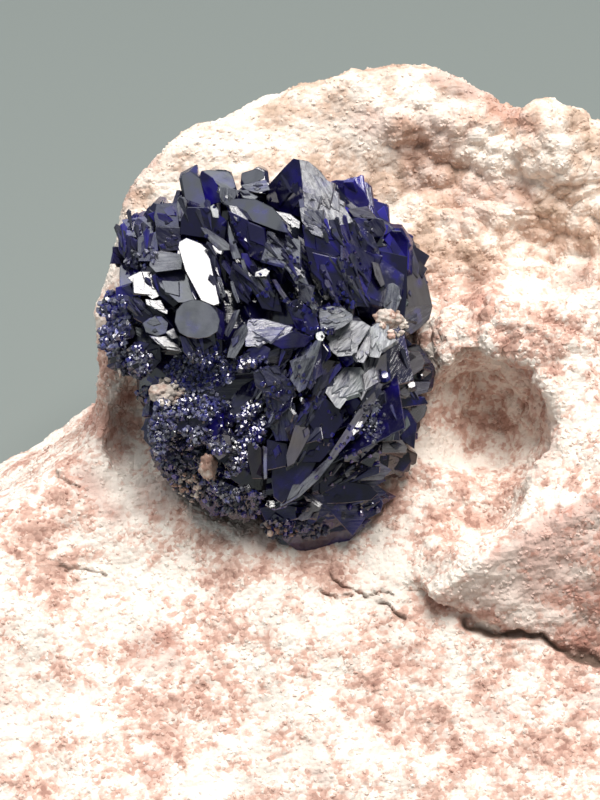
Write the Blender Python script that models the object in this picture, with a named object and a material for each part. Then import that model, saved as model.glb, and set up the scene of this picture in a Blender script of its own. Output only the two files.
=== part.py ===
"""An azurite specimen: a rosette of dark blue blades in a hollow of a loose piece of pink sandstone.

Lengths are written in millimetres and turned into metres as each mesh is made. The origin is on the flat
base, under the middle of the rosette. The show face of the piece leans back, so most places are given in
its own axes: across to the right, up the face, and out of it towards a person looking at it.
"""

import itertools
import math
import random

import bmesh
import bpy
import numpy as np

MM = 0.001

# Driving dimensions
ROSETTE_HEIGHT = 20.0
FACE_LEAN = math.radians(30)
VIEW_DISTANCE = 200.0
ROCK_LOW = (-33.0, -32.0, -6.0)
ROCK_HIGH = (35.0, 33.0, 41.0)
ROCK_CELL = 1.95
SOCKET_GAP = 0.5

ACROSS = np.array((1.0, 0.0, 0.0))
UP_FACE = np.array((0.0, math.sin(FACE_LEAN), math.cos(FACE_LEAN)))
OUT = np.array((0.0, -math.cos(FACE_LEAN), math.sin(FACE_LEAN)))
ROSETTE_CENTRE = np.array((0.0, 0.0, ROSETTE_HEIGHT))


def facing(across, up, out):
    """A unit direction given in the show face's axes."""
    direction = across * ACROSS + up * UP_FACE + out * OUT
    return direction / np.linalg.norm(direction)


def spot(across, up, out):
    """The point that is seen at (across, up) on the show face from VIEW_DISTANCE, and stands out by out."""
    nearer = 1.0 - out / VIEW_DISTANCE
    return ROSETTE_CENTRE + across * nearer * ACROSS + up * nearer * UP_FACE + out * OUT


# Noise and soft blends


def lattice(corner, seed):
    """A repeatable number from -1 to 1 for each whole-numbered corner."""
    x, y, z = corner
    mixed = (x * 374761393 + y * 668265263 + z * 1440662683 + seed * 97) & 0xFFFFFFFF
    mixed = ((mixed ^ (mixed >> 13)) * 1274126177) & 0xFFFFFFFF
    return ((mixed ^ (mixed >> 16)) & 0xFFFF) / 32767.5 - 1.0


def noise(points, size, seed):
    """Smooth noise from -1 to 1 whose lumps are about size across."""
    scaled = points / size
    base = np.floor(scaled).astype(np.int64)
    part = scaled - base
    part = part * part * (3.0 - 2.0 * part)
    total = np.zeros(len(points))
    for step in itertools.product((0, 1), repeat=3):
        weight = np.prod(np.where(step, part, 1.0 - part), axis=1)
        total += weight * lattice((base + step).T, seed)
    return total


def soft_max(a, b, blend):
    mix = np.clip(0.5 + 0.5 * (a - b) / blend, 0.0, 1.0)
    return b + (a - b) * mix + blend * mix * (1.0 - mix)


def soft_min(a, b, blend):
    return -soft_max(-a, -b, blend)


def broken_block(points, faces, blend):
    """Distance outside a block whose broken faces are (point, direction) pairs."""
    distance = None
    for point, direction in faces:
        beyond = (points - point) @ (direction / np.linalg.norm(direction))
        distance = beyond if distance is None else soft_max(distance, beyond, blend)
    return distance


def hollow(points, centre, radii):
    """Distance outside an ellipsoid whose radii lie along the show face's axes."""
    away = points - centre
    scaled = np.stack([away @ ACROSS, away @ UP_FACE, away @ OUT], axis=1) / np.array(radii)
    return (np.linalg.norm(scaled, axis=1) - 1.0) * min(radii)


# The sandstone


def foot_slope(points):
    """The wide lower part, whose front slopes gently down to the toe."""
    return broken_block(
        points,
        [
            (spot(0, -11.4, 1.2), np.array((0.0, -0.5, 0.866))),
            (np.array((0.0, -25.0, 3.5)), np.array((0.1, -0.95, 0.3))),
            (np.array((-16.0, -22.0, 3.0)), np.array((-0.5, -0.8, 0.3))),
            (np.array((-25.5, 0.0, 6.0)), np.array((-0.93, -0.2, 0.3))),
            (np.array((27.0, 0.0, 8.0)), np.array((0.95, -0.1, 0.3))),
            (np.array((23.0, -20.0, 5.0)), np.array((0.6, -0.75, 0.25))),
            (np.array((0.0, 22.0, 8.0)), np.array((0.05, 0.95, 0.3))),
            (np.array((-20.0, 15.0, 5.0)), np.array((-0.6, 0.75, 0.3))),
            (spot(-12.4, -6.6, -3.6), np.array((-0.55, 0.35, 0.76))),
            (np.array((0.0, 0.0, -3.5)), np.array((0.0, 0.0, -1.0))),
        ],
        1.6,
    )


def back_wall(points):
    """The wall that rises behind the rosette to the ridge."""
    return broken_block(
        points,
        [
            (spot(0, 0, -3.6), facing(0.0, 0.17, 0.98)),
            (spot(-6.0, 12.2, -6.5), facing(-0.62, 0.79, -0.15)),
            (spot(0.5, 16.0, -6.5), facing(-0.34, 0.94, -0.15)),
            (spot(7.0, 17.8, -6.5), facing(0.0, 1.0, -0.15)),
            (spot(12.2, 16.6, -6.5), facing(0.55, 0.83, -0.15)),
            (spot(19.6, 11.4, -4.0), facing(0.78, 0.6, -0.2)),
            (spot(-9.6, 7.0, -5.0), facing(-0.98, 0.02, -0.15)),
            (np.array((26.5, 5.0, 12.0)), np.array((0.93, 0.0, 0.3))),
            (np.array((0.0, 22.5, 15.0)), np.array((0.0, 0.97, 0.24))),
            (np.array((-10.0, 18.0, 15.0)), np.array((-0.7, 0.65, 0.3))),
            (np.array((20.0, 18.5, 15.0)), np.array((0.6, 0.7, 0.35))),
            (np.array((0.0, 0.0, -3.5)), np.array((0.0, 0.0, -1.0))),
        ],
        1.2,
    )


def buttress(points):
    """The shoulder on the right, between the bowl and the pocket."""
    return broken_block(
        points,
        [
            (spot(19.0, -3.0, 1.6), facing(0.05, 0.3, 0.95)),
            (spot(15.2, 3.3, 0.4), facing(-0.45, 0.8, 0.4)),
            (spot(9.0, -3.0, -3.0), facing(-0.9, 0.0, 0.35)),
            (np.array((27.0, 0.0, 12.0)), np.array((0.95, -0.1, 0.25))),
            (spot(16.0, -12.5, 0.0), facing(0.0, -0.7, 0.3)),
            (spot(16.0, 0.0, -14.0), facing(0.0, 0.0, -1.0)),
        ],
        1.3,
    )


def ledge(points):
    """The slab that stands proud at the lower right and is undercut along its lower edge."""
    return broken_block(
        points,
        [
            (spot(15.0, -11.5, 5.0), facing(-0.454, 0.659, 0.6)),
            (spot(15.0, -13.5, 5.6), facing(-0.06, -0.22, 0.97)),
            (spot(14.6, -17.0, 5.0), facing(-0.32, -0.93, -0.25)),
            (np.array((26.5, -10.0, 8.0)), np.array((0.93, -0.2, 0.2))),
            (spot(17.0, -13.0, -6.0), facing(0.0, 0.0, -1.0)),
        ],
        0.5,
    )


# Hollows in the rock: what each is, its middle (across, up, out), its radii and how rounded its rim is
HOLLOWS = (
    ("seat of the rosette", (0.2, -0.1, 2.2), (10.8, 11.1, 6.2), 0.9),
    ("recess on the left", (-7.2, -4.4, -0.8), (2.4, 3.4, 4.0), 0.3),
    ("pocket on the right", (13.4, -4.2, 0.4), (3.5, 4.0, 5.2), 0.25),
    ("way from the pocket to the seat", (10.6, -4.6, 2.0), (3.0, 3.6, 4.6), 0.25),
    ("lit floor of the pocket", (12.2, -8.4, 2.6), (3.4, 3.2, 2.8), 0.5),
    ("bowl above the rosette", (9.6, 10.6, -2.8), (5.8, 5.2, 4.4), 0.9),
    ("bowl above the pocket", (16.8, 7.2, -1.6), (5.4, 4.6, 4.8), 0.6),
    ("nick in the ridge", (15.0, 16.2, -7.0), (1.2, 1.7, 5.0), 0.5),
)


def sandstone(points):
    """Signed distance, in millimetres, from the rough surface of the sandstone: below zero inside."""
    form = soft_min(foot_slope(points), back_wall(points), 2.0)
    form = soft_min(form, buttress(points), 1.2)
    form = soft_min(form, ledge(points), 0.4)
    form = soft_min(form, hollow(points, spot(17.6, 12.0, -6.6), (3.0, 2.9, 3.0)), 1.2)
    form = form + 0.8 * noise(points, 8.5, 1) + 0.5 * noise(points, 4.4, 2)
    uneven = 0.35 * noise(points, 3.1, 3)
    for _, place, radii, rim in HOLLOWS:
        form = soft_max(form, uneven - hollow(points, spot(*place), radii), rim)
    return form


def without_pinches(value, cell):
    """Fill the grid corners at which the surface would touch itself along an edge."""
    pinched = True
    while pinched:
        pinched = False
        for axis in range(3):
            layers = np.moveaxis(value, axis, 0)
            near, far = layers[:, :-1, :-1], layers[:, 1:, 1:]
            left, right = layers[:, 1:, :-1], layers[:, :-1, 1:]
            for open_a, open_b, full_a, full_b in ((near, far, left, right), (left, right, near, far)):
                found = (open_a >= 0.0) & (open_b >= 0.0) & (full_a < 0.0) & (full_b < 0.0)
                pinched = pinched or bool(found.any())
                open_a[found] = -0.05 * cell
    return value


def softened(value):
    """Each grid corner's value averaged with its neighbours', so that no spike is thinner than a cell."""
    for axis in range(3):
        layers = np.moveaxis(value, axis, 0)
        layers[1:-1] = 0.13 * layers[:-2] + 0.74 * layers[1:-1] + 0.13 * layers[2:]
    return value


def skin_of(field, low, high, cell):
    """Corners and four-sided faces of the surface where field is zero, one corner for each cell it crosses."""
    axes = [np.arange(a, b + cell, cell) for a, b in zip(low, high)]
    grid = np.stack(np.meshgrid(*axes, indexing="ij"), axis=-1)
    value = softened(field(grid.reshape(-1, 3)).reshape(grid.shape[:3]))
    value = without_pinches(value, cell)
    cells = np.array(value.shape) - 1
    total, count = np.zeros((*cells, 3)), np.zeros(cells)
    edges = []
    for axis in range(3):
        near = np.take(value, range(value.shape[axis] - 1), axis)
        far = np.take(value, range(1, value.shape[axis]), axis)
        crossed = (near < 0.0) != (far < 0.0)
        edges.append((crossed, near < 0.0))
        share = np.where(crossed, near / np.where(crossed, near - far, 1.0), 0.0)
        point = np.take(grid, range(value.shape[axis] - 1), axis) + share[..., None] * cell * np.eye(3)[axis]
        for step in itertools.product((0, 1), repeat=2):
            start = np.insert(step, axis, 0)
            part = tuple(slice(s, s + n) for s, n in zip(start, cells))
            total += np.where(crossed[part][..., None], point[part], 0.0)
            count += crossed[part]
    number = np.cumsum(count.ravel() > 0).reshape(count.shape) - 1
    corners = total[count > 0] / count[count > 0][:, None]
    faces = []
    for axis, (crossed, inside) in enumerate(edges):
        found = np.argwhere(crossed)
        second, third = [a for a in range(3) if a != axis]
        found = found[(found[:, second] > 0) & (found[:, third] > 0)]
        found = found[(found[:, second] < cells[second]) & (found[:, third] < cells[third])]
        ring = []
        for back_second, back_third in ((1, 1), (0, 1), (0, 0), (1, 0)):
            cell_at = found.copy()
            cell_at[:, second] -= back_second
            cell_at[:, third] -= back_third
            ring.append(number[tuple(cell_at.T)])
        ring = np.stack(ring, axis=1)
        turned = inside[tuple(found.T)] == (axis == 1)
        ring[turned] = ring[turned][:, ::-1]
        faces.append(ring)
    return corners, np.concatenate(faces)


def sandstone_mesh():
    """The rock's skin, cut off flat at the base it stands on."""
    corners, faces = skin_of(sandstone, ROCK_LOW, ROCK_HIGH, ROCK_CELL)
    mesh = bpy.data.meshes.new("sandstone_matrix")
    mesh.from_pydata((corners * MM).tolist(), [], faces.tolist())
    shape = bmesh.new()
    shape.from_mesh(mesh)
    everything = shape.verts[:] + shape.edges[:] + shape.faces[:]
    cut = bmesh.ops.bisect_plane(shape, geom=everything, plane_co=(0, 0, 0), plane_no=(0, 0, -1), clear_outer=True)
    rim = [item for item in cut["geom_cut"] if isinstance(item, bmesh.types.BMEdge)]
    bmesh.ops.contextual_create(shape, geom=rim)
    bmesh.ops.triangulate(shape, faces=shape.faces[:])
    bmesh.ops.recalc_face_normals(shape, faces=shape.faces[:])
    shape.to_mesh(mesh)
    shape.free()
    return mesh


# The crystals


def corners_between(planes):
    """Corner points of the convex solid that a list of (direction, distance) planes encloses."""
    normals = np.array([direction for direction, _ in planes], float)
    lengths = np.linalg.norm(normals, axis=1)
    normals /= lengths[:, None]
    reach = np.array([distance for _, distance in planes]) / lengths
    trios = np.array(list(itertools.combinations(range(len(planes)), 3)))
    trios = trios[np.abs(np.linalg.det(normals[trios])) > 1e-4]
    points = np.linalg.solve(normals[trios], reach[trios][..., None])[..., 0]
    return points[(points @ normals.T <= reach + 1e-6).all(axis=1)]


def blade(length, width, thickness, wobble):
    """Tabular, narrowing towards its foot, with slanting rims and two-sided chisel ends."""
    rim = math.radians(30 + 12 * wobble)
    yaw_left, yaw_right = math.radians(50 + 10 * wobble), math.radians(40 - 12 * wobble)
    half = length / 2
    planes = [((0, 0, side), thickness / 2) for side in (1, -1)]
    planes += [((-0.11, side * math.cos(rim), side * math.sin(rim)), 0.37 * width) for side in (1, -1)]
    for end, slope in ((1, 0.3), (-1, 0.7)):
        planes.append(((end * math.cos(yaw_left), math.sin(yaw_left), slope), half * math.cos(yaw_left)))
        planes.append(((end * math.cos(yaw_right), -math.sin(yaw_right), slope), half * math.cos(yaw_right)))
    return planes


def plate(length, width, thickness, wobble, sides=7):
    """A thin slab whose outline is a polygon round an ellipse, with a bevelled edge."""
    planes = [((0, 0, side), thickness / 2) for side in (1, -1)]
    for step in range(sides):
        turn = 2 * math.pi * (step + 0.3 * wobble * (-1) ** step) / sides
        reach = math.hypot(length / 2 * math.cos(turn), width / 2 * math.sin(turn))
        planes.append(((math.cos(turn), math.sin(turn), 0.45), reach))
    return planes


def disc(length, width, thickness, wobble):
    """A plate with a nearly round outline."""
    return plate(length, width, thickness, 0.3 * wobble, sides=12)


def leaf(length, width, thickness, wobble):
    """Lens-shaped in outline, pointed at both ends."""
    radius = (length**2 + width**2) / (4 * width)
    planes = [((0, 0, side), thickness / 2) for side in (1, -1)]
    for side, degrees in itertools.product((1, -1), (-30, 0, 30)):
        turn = math.radians(degrees + 5 * wobble)
        reach = radius - (radius - width / 2) * math.cos(turn)
        planes.append(((math.sin(turn), side * math.cos(turn), 0.6), max(reach, 0.3 * width)))
    return planes


def spear(length, width, thickness, wobble):
    """A four-sided pyramid with a sharp ridge along its front, cut off at the foot."""
    rim = math.atan2(width, thickness)
    planes = [((-1, 0, 0), length / 2)]
    for side, slope in itertools.product((1, -1), repeat=2):
        lean = math.cos(rim) * width / (2 * length) * (1 + 0.5 * wobble * side)
        planes.append(((lean, side * math.cos(rim), slope * math.sin(rim)), lean * length / 2))
    return planes


def block(length, width, thickness, wobble):
    """A stout prism with two bevelled edges and a slanting head."""
    tilt = math.radians(18 + 14 * wobble)
    planes = [((-1, 0, 0), length / 2)]
    planes.append(((math.cos(tilt), math.sin(tilt), 0.25), length / 2 * math.cos(tilt)))
    planes.append(((math.cos(tilt), -math.sin(tilt), 0.5), length / 2))
    for side in (1, -1):
        planes.append(((0, side, 0.1 * wobble), width / 2))
        planes.append(((0, 0.1 * wobble, side), thickness / 2))
        planes.append(((0, side, width / thickness), 0.84 * width))
    return planes


# Each crystal: habit, head, foot (across, up, out), width, thickness, and which way its broad face looks.
CRYSTALS = (
    # Top row, standing against the back wall
    (block, (-4.6, 10.7, 0.6), (-3.8, 6.4, 0.4), 1.15, 1.5, (-0.15, 0.35, 0.92)),
    (block, (-3.1, 10.8, 0.2), (-1.8, 6.4, 1.2), 1.7, 1.8, (0.35, 0.45, 0.82)),
    (block, (-0.6, 10.9, -0.4), (-0.2, 7.6, 0.6), 1.5, 1.3, (0.1, 0.3, 0.95)),
    (block, (-6.7, 8.8, 0.2), (-5.6, 5.4, 1.0), 1.5, 1.6, (-0.1, 0.2, 0.97)),
    (block, (-7.9, 8.0, -0.4), (-7.1, 5.0, 0.4), 2.0, 1.8, (-0.25, 0.15, 0.95)),
    (block, (-8.2, 6.2, -0.8), (-7.2, 4.2, 0.0), 1.5, 1.4, (-0.45, 0.1, 0.88)),
    (blade, (-5.2, 9.6, 1.2), (-3.6, 4.6, 2.4), 1.3, 0.8, (0.75, 0.25, 0.6)),
    (spear, (1.9, 11.4, 1.8), (3.7, 5.2, 2.8), 8.8, 4.4, (0.1, 0.15, 0.98)),
    (plate, (3.7, 9.9, 1.4), (5.2, 7.1, 2.4), 1.6, 1.0, (0.6, 0.5, 0.62)),
    (block, (5.0, 10.2, -0.6), (5.6, 6.6, 1.0), 2.4, 2.0, (0.35, 0.35, 0.86)),
    (block, (6.4, 8.9, -0.4), (6.6, 5.6, 1.2), 1.7, 1.7, (0.4, 0.4, 0.82)),
    (plate, (7.2, 8.0, 0.6), (9.2, 0.6, 1.2), 3.9, 2.6, (0.5, 0.12, 0.86)),
    (plate, (7.8, 7.4, 2.0), (8.0, 4.4, 2.2), 1.6, 1.4, (0.1, 0.2, 0.97)),
    # The great shield on the right and the sheets behind it
    (blade, (3.6, 7.8, 3.4), (7.2, 1.9, 4.4), 3.7, 1.6, (0.3, 0.2, 0.93)),
    (leaf, (3.8, 8.6, 2.4), (7.7, 2.6, 3.8), 3.0, 1.2, (0.5, 0.25, 0.83)),
    (leaf, (5.0, 8.2, 1.6), (8.2, 2.4, 2.8), 2.6, 1.2, (0.62, 0.2, 0.76)),
    (blade, (1.6, 6.6, 3.8), (5.2, 2.0, 5.4), 1.6, 0.8, (-0.3, 0.2, 0.93)),
    # The long central blade and its companions
    (blade, (-2.1, 9.2, 2.8), (3.4, 1.6, 5.2), 2.7, 1.5, (0.28, 0.42, 0.86)),
    (blade, (-2.2, 8.2, 2.6), (1.0, 2.2, 5.0), 1.9, 1.2, (-0.55, 0.1, 0.83)),
    (blade, (-3.6, 9.2, 1.6), (-0.6, 3.4, 4.2), 1.5, 0.9, (-0.2, 0.3, 0.93)),
    (blade, (-2.4, 7.6, 3.2), (-0.8, 2.6, 5.0), 1.0, 0.7, (0.5, 0.2, 0.84)),
    (blade, (0.6, 7.4, 3.4), (3.0, 2.8, 5.2), 1.1, 0.7, (0.6, 0.5, 0.62)),
    (blade, (1.2, 7.6, 2.6), (4.2, 3.6, 4.2), 1.3, 0.8, (0.2, 0.8, 0.55)),
    (plate, (-3.8, 7.2, 3.0), (-2.0, 5.8, 3.8), 1.0, 0.6, (0.15, 0.2, 0.97)),
    # The pale facets on the left
    (plate, (-5.0, 6.8, 3.4), (-2.9, 2.8, 5.2), 1.8, 1.0, (0.1, 0.42, 0.9)),
    (plate, (-6.8, 6.0, 2.6), (-4.4, 2.6, 4.4), 2.1, 1.1, (-0.05, 0.3, 0.95)),
    (disc, (-5.0, 2.7, 4.6), (-3.2, 1.1, 4.9), 2.3, 1.6, (-0.06, 0.2, 0.98)),
    (blade, (-3.6, 1.6, 3.6), (-2.4, -1.6, 5.2), 1.8, 1.4, (0.3, -0.2, 0.93)),
    (blade, (-8.6, 5.0, 1.0), (-5.4, 2.4, 3.4), 1.7, 0.9, (-0.1, 0.62, 0.78)),
    (blade, (-8.2, 3.8, 1.4), (-5.2, 1.6, 3.8), 1.3, 0.8, (-0.25, 0.4, 0.88)),
    (leaf, (-7.4, 1.6, 2.8), (-4.6, -0.2, 4.4), 1.7, 1.2, (-0.2, 0.45, 0.87)),
    (block, (-9.8, 3.0, -0.2), (-7.6, 1.4, 1.6), 1.7, 1.5, (-0.5, 0.3, 0.8)),
    (block, (-10.0, 1.0, -0.2), (-7.8, 0.4, 1.8), 1.6, 1.6, (-0.4, -0.1, 0.9)),
    (block, (-9.2, -0.8, 0.4), (-7.2, 0.0, 2.0), 1.6, 1.4, (-0.3, -0.4, 0.86)),
    (block, (-8.0, -1.2, 1.2), (-6.2, 0.2, 2.8), 1.5, 1.3, (-0.1, -0.4, 0.9)),
    # The pair of leaves in the middle
    (leaf, (-1.0, 1.9, 6.0), (-2.4, -1.6, 5.8), 1.4, 0.8, (-0.45, 0.15, 0.88)),
    (leaf, (1.8, 1.3, 6.4), (-2.2, -1.6, 6.0), 1.9, 1.2, (0.2, 0.35, 0.9)),
    (blade, (-1.2, 3.0, 5.8), (-0.4, 0.8, 6.2), 0.8, 0.6, (0.5, 0.1, 0.86)),
    (blade, (0.2, 3.8, 5.2), (2.6, 0.8, 6.4), 0.9, 0.5, (-0.35, -0.1, 0.93)),
    (blade, (1.0, 3.4, 5.6), (2.9, 0.2, 6.6), 1.1, 0.6, (0.1, -0.35, 0.93)),
    (block, (2.4, 1.4, 6.2), (1.0, 0.0, 5.8), 1.4, 1.2, (-0.1, -0.2, 0.97)),
    # The stepped plates right of the middle
    (plate, (3.3, 2.4, 6.2), (5.0, 1.2, 5.6), 1.3, 1.0, (-0.2, 0.5, 0.84)),
    (plate, (4.2, 1.7, 6.0), (6.2, 0.1, 5.0), 1.9, 1.1, (0.1, 0.35, 0.93)),
    (block, (4.6, 0.2, 5.6), (5.6, -1.2, 4.8), 1.5, 1.2, (0.1, -0.3, 0.95)),
    (plate, (7.5, 3.7, 3.0), (8.0, 1.9, 3.0), 0.9, 0.8, (0.1, 0.1, 0.98)),
    # The fan of long blades that runs from the right down to the left
    (blade, (7.8, 2.2, 3.2), (4.2, -3.7, 6.0), 1.7, 0.9, (0.25, 0.3, 0.92)),
    (blade, (3.4, 0.8, 7.0), (2.0, -3.0, 6.6), 1.4, 0.9, (-0.35, 0.35, 0.87)),
    (blade, (8.2, 1.0, 1.8), (0.6, -9.4, 5.8), 2.9, 0.8, (-0.72, 0.3, 0.62)),
    (blade, (6.6, 0.4, 3.2), (0.0, -8.6, 5.8), 2.8, 0.8, (-0.6, 0.2, 0.78)),
    (blade, (4.4, 0.0, 5.0), (-0.4, -7.0, 6.0), 2.5, 0.8, (-0.5, 0.25, 0.83)),
    (blade, (2.9, -2.6, 7.0), (1.4, -7.2, 6.6), 0.9, 0.7, (0.5, 0.0, 0.86)),
    (blade, (2.2, -0.6, 6.4), (-0.8, -5.6, 6.4), 1.6, 0.6, (-0.75, 0.35, 0.55)),
    (blade, (1.0, -1.0, 6.4), (-1.8, -5.2, 6.0), 1.4, 0.6, (-0.6, 0.5, 0.62)),
    (blade, (0.2, -1.6, 6.2), (-2.8, -5.0, 5.6), 1.3, 0.6, (-0.45, 0.5, 0.74)),
    (blade, (-0.8, -4.4, 6.2), (-0.4, -9.0, 4.8), 1.6, 1.0, (0.3, -0.15, 0.94)),
    (blade, (7.0, -2.4, 2.8), (2.6, -8.8, 4.6), 2.4, 0.9, (0.3, 0.1, 0.94)),
    (blade, (7.4, -3.6, 1.8), (4.2, -8.6, 3.4), 2.2, 1.0, (0.45, -0.1, 0.88)),
    # The foot of the rosette
    (leaf, (7.2, -8.8, 1.4), (2.0, -9.0, 4.0), 2.6, 1.8, (0.2, 0.1, 0.97)),
    (blade, (-0.2, -10.2, 3.4), (4.4, -8.6, 3.6), 2.2, 1.3, (-0.1, -0.3, 0.94)),
    (leaf, (6.2, -10.0, 1.6), (0.6, -10.6, 3.0), 1.9, 1.3, (0.2, -0.5, 0.84)),
    (block, (0.6, -11.3, 2.2), (2.0, -9.2, 3.0), 1.7, 1.4, (-0.2, -0.5, 0.84)),
    # The dark stubs on the lower right
    (block, (9.4, -0.4, 0.2), (7.0, -1.0, 2.2), 1.8, 1.7, (0.3, 0.1, 0.95)),
    (block, (9.9, -1.5, -0.2), (7.4, -2.2, 1.8), 1.8, 1.6, (0.35, -0.1, 0.93)),
    (block, (9.2, -2.8, 0.0), (7.0, -3.0, 1.8), 1.9, 1.5, (0.3, -0.2, 0.93)),
    (block, (8.9, -4.6, 0.2), (6.4, -4.0, 2.4), 2.2, 2.0, (0.3, -0.1, 0.95)),
    (block, (8.4, -6.8, 0.0), (6.0, -5.6, 2.2), 2.1, 2.0, (0.3, -0.3, 0.9)),
    (blade, (8.3, -3.2, 2.8), (7.8, -5.4, 2.6), 0.9, 0.8, (0.1, 0.25, 0.96)),
    # The rounded knots under the sparkling crust on the lower left
    (disc, (-6.0, -2.2, 2.6), (-3.6, -4.4, 4.4), 2.6, 2.4, (-0.3, 0.1, 0.95)),
    (block, (-6.9, -5.2, 1.2), (-4.4, -4.2, 3.4), 2.2, 2.0, (-0.4, -0.1, 0.9)),
    (block, (-6.6, -7.0, 0.6), (-4.0, -5.4, 3.2), 2.0, 1.9, (-0.3, -0.4, 0.86)),
    (block, (-5.4, -8.6, 0.6), (-3.2, -6.2, 3.4), 2.2, 1.8, (-0.2, -0.5, 0.84)),
    (block, (-3.2, -9.4, 1.6), (-1.8, -6.8, 4.0), 2.3, 1.9, (-0.1, -0.5, 0.86)),
    (block, (-1.6, -9.9, 2.4), (-0.8, -7.6, 4.2), 2.0, 1.7, (0.0, -0.5, 0.86)),
    (blade, (-3.8, -2.6, 5.2), (-2.4, -6.2, 5.4), 1.8, 1.2, (-0.4, 0.0, 0.92)),
    (blade, (-2.6, -4.4, 5.8), (-1.6, -7.8, 5.0), 1.7, 1.2, (-0.1, -0.2, 0.97)),
    (blade, (-6.8, -1.8, 2.4), (-3.8, -1.4, 4.8), 1.6, 1.2, (-0.1, 0.2, 0.97)),
    (blade, (-7.2, -2.4, 1.0), (-4.8, -2.8, 3.0), 1.3, 1.0, (-0.2, 0.3, 0.93)),
)

SHORT_BLADES = 16
CRUST_CRYSTALS = 10
ROSETTE_RADII = (9.0, 10.4, 6.0)


def placed(habit, head, foot, width, thickness, look, wobble):
    """Corner points of one crystal, set between its head and its foot."""
    run = head - foot
    length = np.linalg.norm(run)
    along = run / length
    normal = look - (look @ along) * along
    normal /= np.linalg.norm(normal)
    axes = np.stack([along, np.cross(normal, along), normal])
    return corners_between(habit(length, width, thickness, wobble)) @ axes + (head + foot) / 2


def named_crystals(chance):
    """The crystals that give the rosette its look, placed one by one."""
    for habit, head, foot, width, thickness, look in CRYSTALS:
        wobble = chance.uniform(-1.0, 1.0)
        yield placed(habit, spot(*head), spot(*foot), width, thickness, facing(*look), wobble)


def dome(across, up, swell):
    """How far the rosette's rounded surface stands out at a place on the show face."""
    wide, tall, deep = ROSETTE_RADII
    return swell * deep * math.sqrt(max(0.0, 1.0 - (across / wide) ** 2 - (up / tall) ** 2))


def short_blades(chance):
    """Blades that radiate from the core on a sunflower pattern and fill the gaps between the others."""
    wide, tall, _ = ROSETTE_RADII
    core = spot(0.0, 0.0, -2.5)
    for number in range(SHORT_BLADES):
        reach = math.sqrt((number + 0.5) / SHORT_BLADES)
        turn = number * math.pi * (3.0 - math.sqrt(5.0))
        across, up = 0.97 * reach * wide * math.cos(turn), 0.97 * reach * tall * math.sin(turn)
        tip = spot(across, up, dome(across, up, 0.9) - 0.6 * chance.random())
        outward = (tip - core) / np.linalg.norm(tip - core)
        side = np.cross(outward, facing(chance.uniform(-1, 1), chance.uniform(-1, 1), 0.2))
        length = chance.uniform(3.4, 4.8)
        size = chance.uniform(1.2, 2.0), chance.uniform(0.6, 1.0)
        yield placed(blade, tip, tip - length * outward, *size, side, chance.uniform(-1, 1))


def crust_crystals(chance):
    """Small crystals that crowd the lower left of the rosette."""
    for _ in range(CRUST_CRYSTALS):
        across, up = chance.uniform(-7.0, -0.8), chance.uniform(-9.4, -1.6)
        inside = (across / ROSETTE_RADII[0]) ** 2 + (up / ROSETTE_RADII[1]) ** 2 < 0.92
        tip = spot(across, up, dome(across, up, 0.93 if inside else 0.8) + chance.uniform(0.0, 0.5))
        lean = facing(across / 9.0 + chance.uniform(-0.5, 0.5), up / 10.0 + chance.uniform(-0.5, 0.5), 0.8)
        side = np.cross(lean, facing(chance.uniform(-1, 1), chance.uniform(-1, 1), 0.3))
        size = chance.uniform(0.7, 1.1), chance.uniform(0.5, 0.8)
        yield placed(blade, tip, tip - 2.6 * lean, *size, side, chance.uniform(-1, 1))


def hull(name, points, collection):
    """A named object whose mesh is the convex hull of the points."""
    shape = bmesh.new()
    for point in points:
        shape.verts.new(point * MM)
    bmesh.ops.remove_doubles(shape, verts=shape.verts[:], dist=0.002 * MM)
    made = bmesh.ops.convex_hull(shape, input=shape.verts[:])
    spare = {item for item in made["geom_interior"] + made["geom_unused"] if isinstance(item, bmesh.types.BMVert)}
    bmesh.ops.delete(shape, geom=list(spare), context="VERTS")
    bmesh.ops.recalc_face_normals(shape, faces=shape.faces[:])
    bmesh.ops.dissolve_limit(shape, angle_limit=math.radians(0.5), verts=shape.verts[:], edges=shape.edges[:])
    mesh = bpy.data.meshes.new(name)
    shape.to_mesh(mesh)
    shape.free()
    body = bpy.data.objects.new(name, mesh)
    collection.objects.link(body)
    return body


def lump(centre, radii, seed, swell=0.0):
    """Points of a rough ball, for the core of the rosette and for grains of sandstone."""
    shape = bmesh.new()
    bmesh.ops.create_icosphere(shape, subdivisions=2, radius=1.0)
    points = np.array([corner.co for corner in shape.verts])
    shape.free()
    rough = 1.0 + 0.16 * noise(points * 3.0, 1.0, seed)
    points = points * rough[:, None] * (np.array(radii) + swell)
    return spot(*centre) + points[:, :1] * ACROSS + points[:, 1:2] * UP_FACE + points[:, 2:] * OUT


# Grains of sandstone caught between the crystals: name, place, radii
CRUMBS = (
    ("sandstone_crumb_right", (7.4, 1.9, 4.4), (0.8, 0.5, 0.6)),
    ("sandstone_crumb_foot", (-3.4, -7.0, 4.6), (0.45, 0.7, 0.5)),
    ("sandstone_crumb_left", (-6.1, -2.6, 3.6), (0.75, 0.5, 0.6)),
)


def without_sealed_pockets(body):
    """Apply the body's modifiers and fill the tiny pockets left between crystals, by keeping its outer shell."""
    view = bpy.context.evaluated_depsgraph_get()
    shape = bmesh.new()
    shape.from_mesh(body.evaluated_get(view).data)
    left, shells = set(shape.verts), []
    while left:
        reached = [left.pop()]
        for corner in reached:
            found = {edge.other_vert(corner) for edge in corner.link_edges} & left
            reached.extend(found)
            left -= found
        shells.append(reached)
    outer = max(shells, key=len)
    spare = [corner for shell in shells if shell is not outer for corner in shell]
    bmesh.ops.delete(shape, geom=spare, context="VERTS")
    body.modifiers.clear()
    shape.to_mesh(body.data)
    shape.free()


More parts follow.
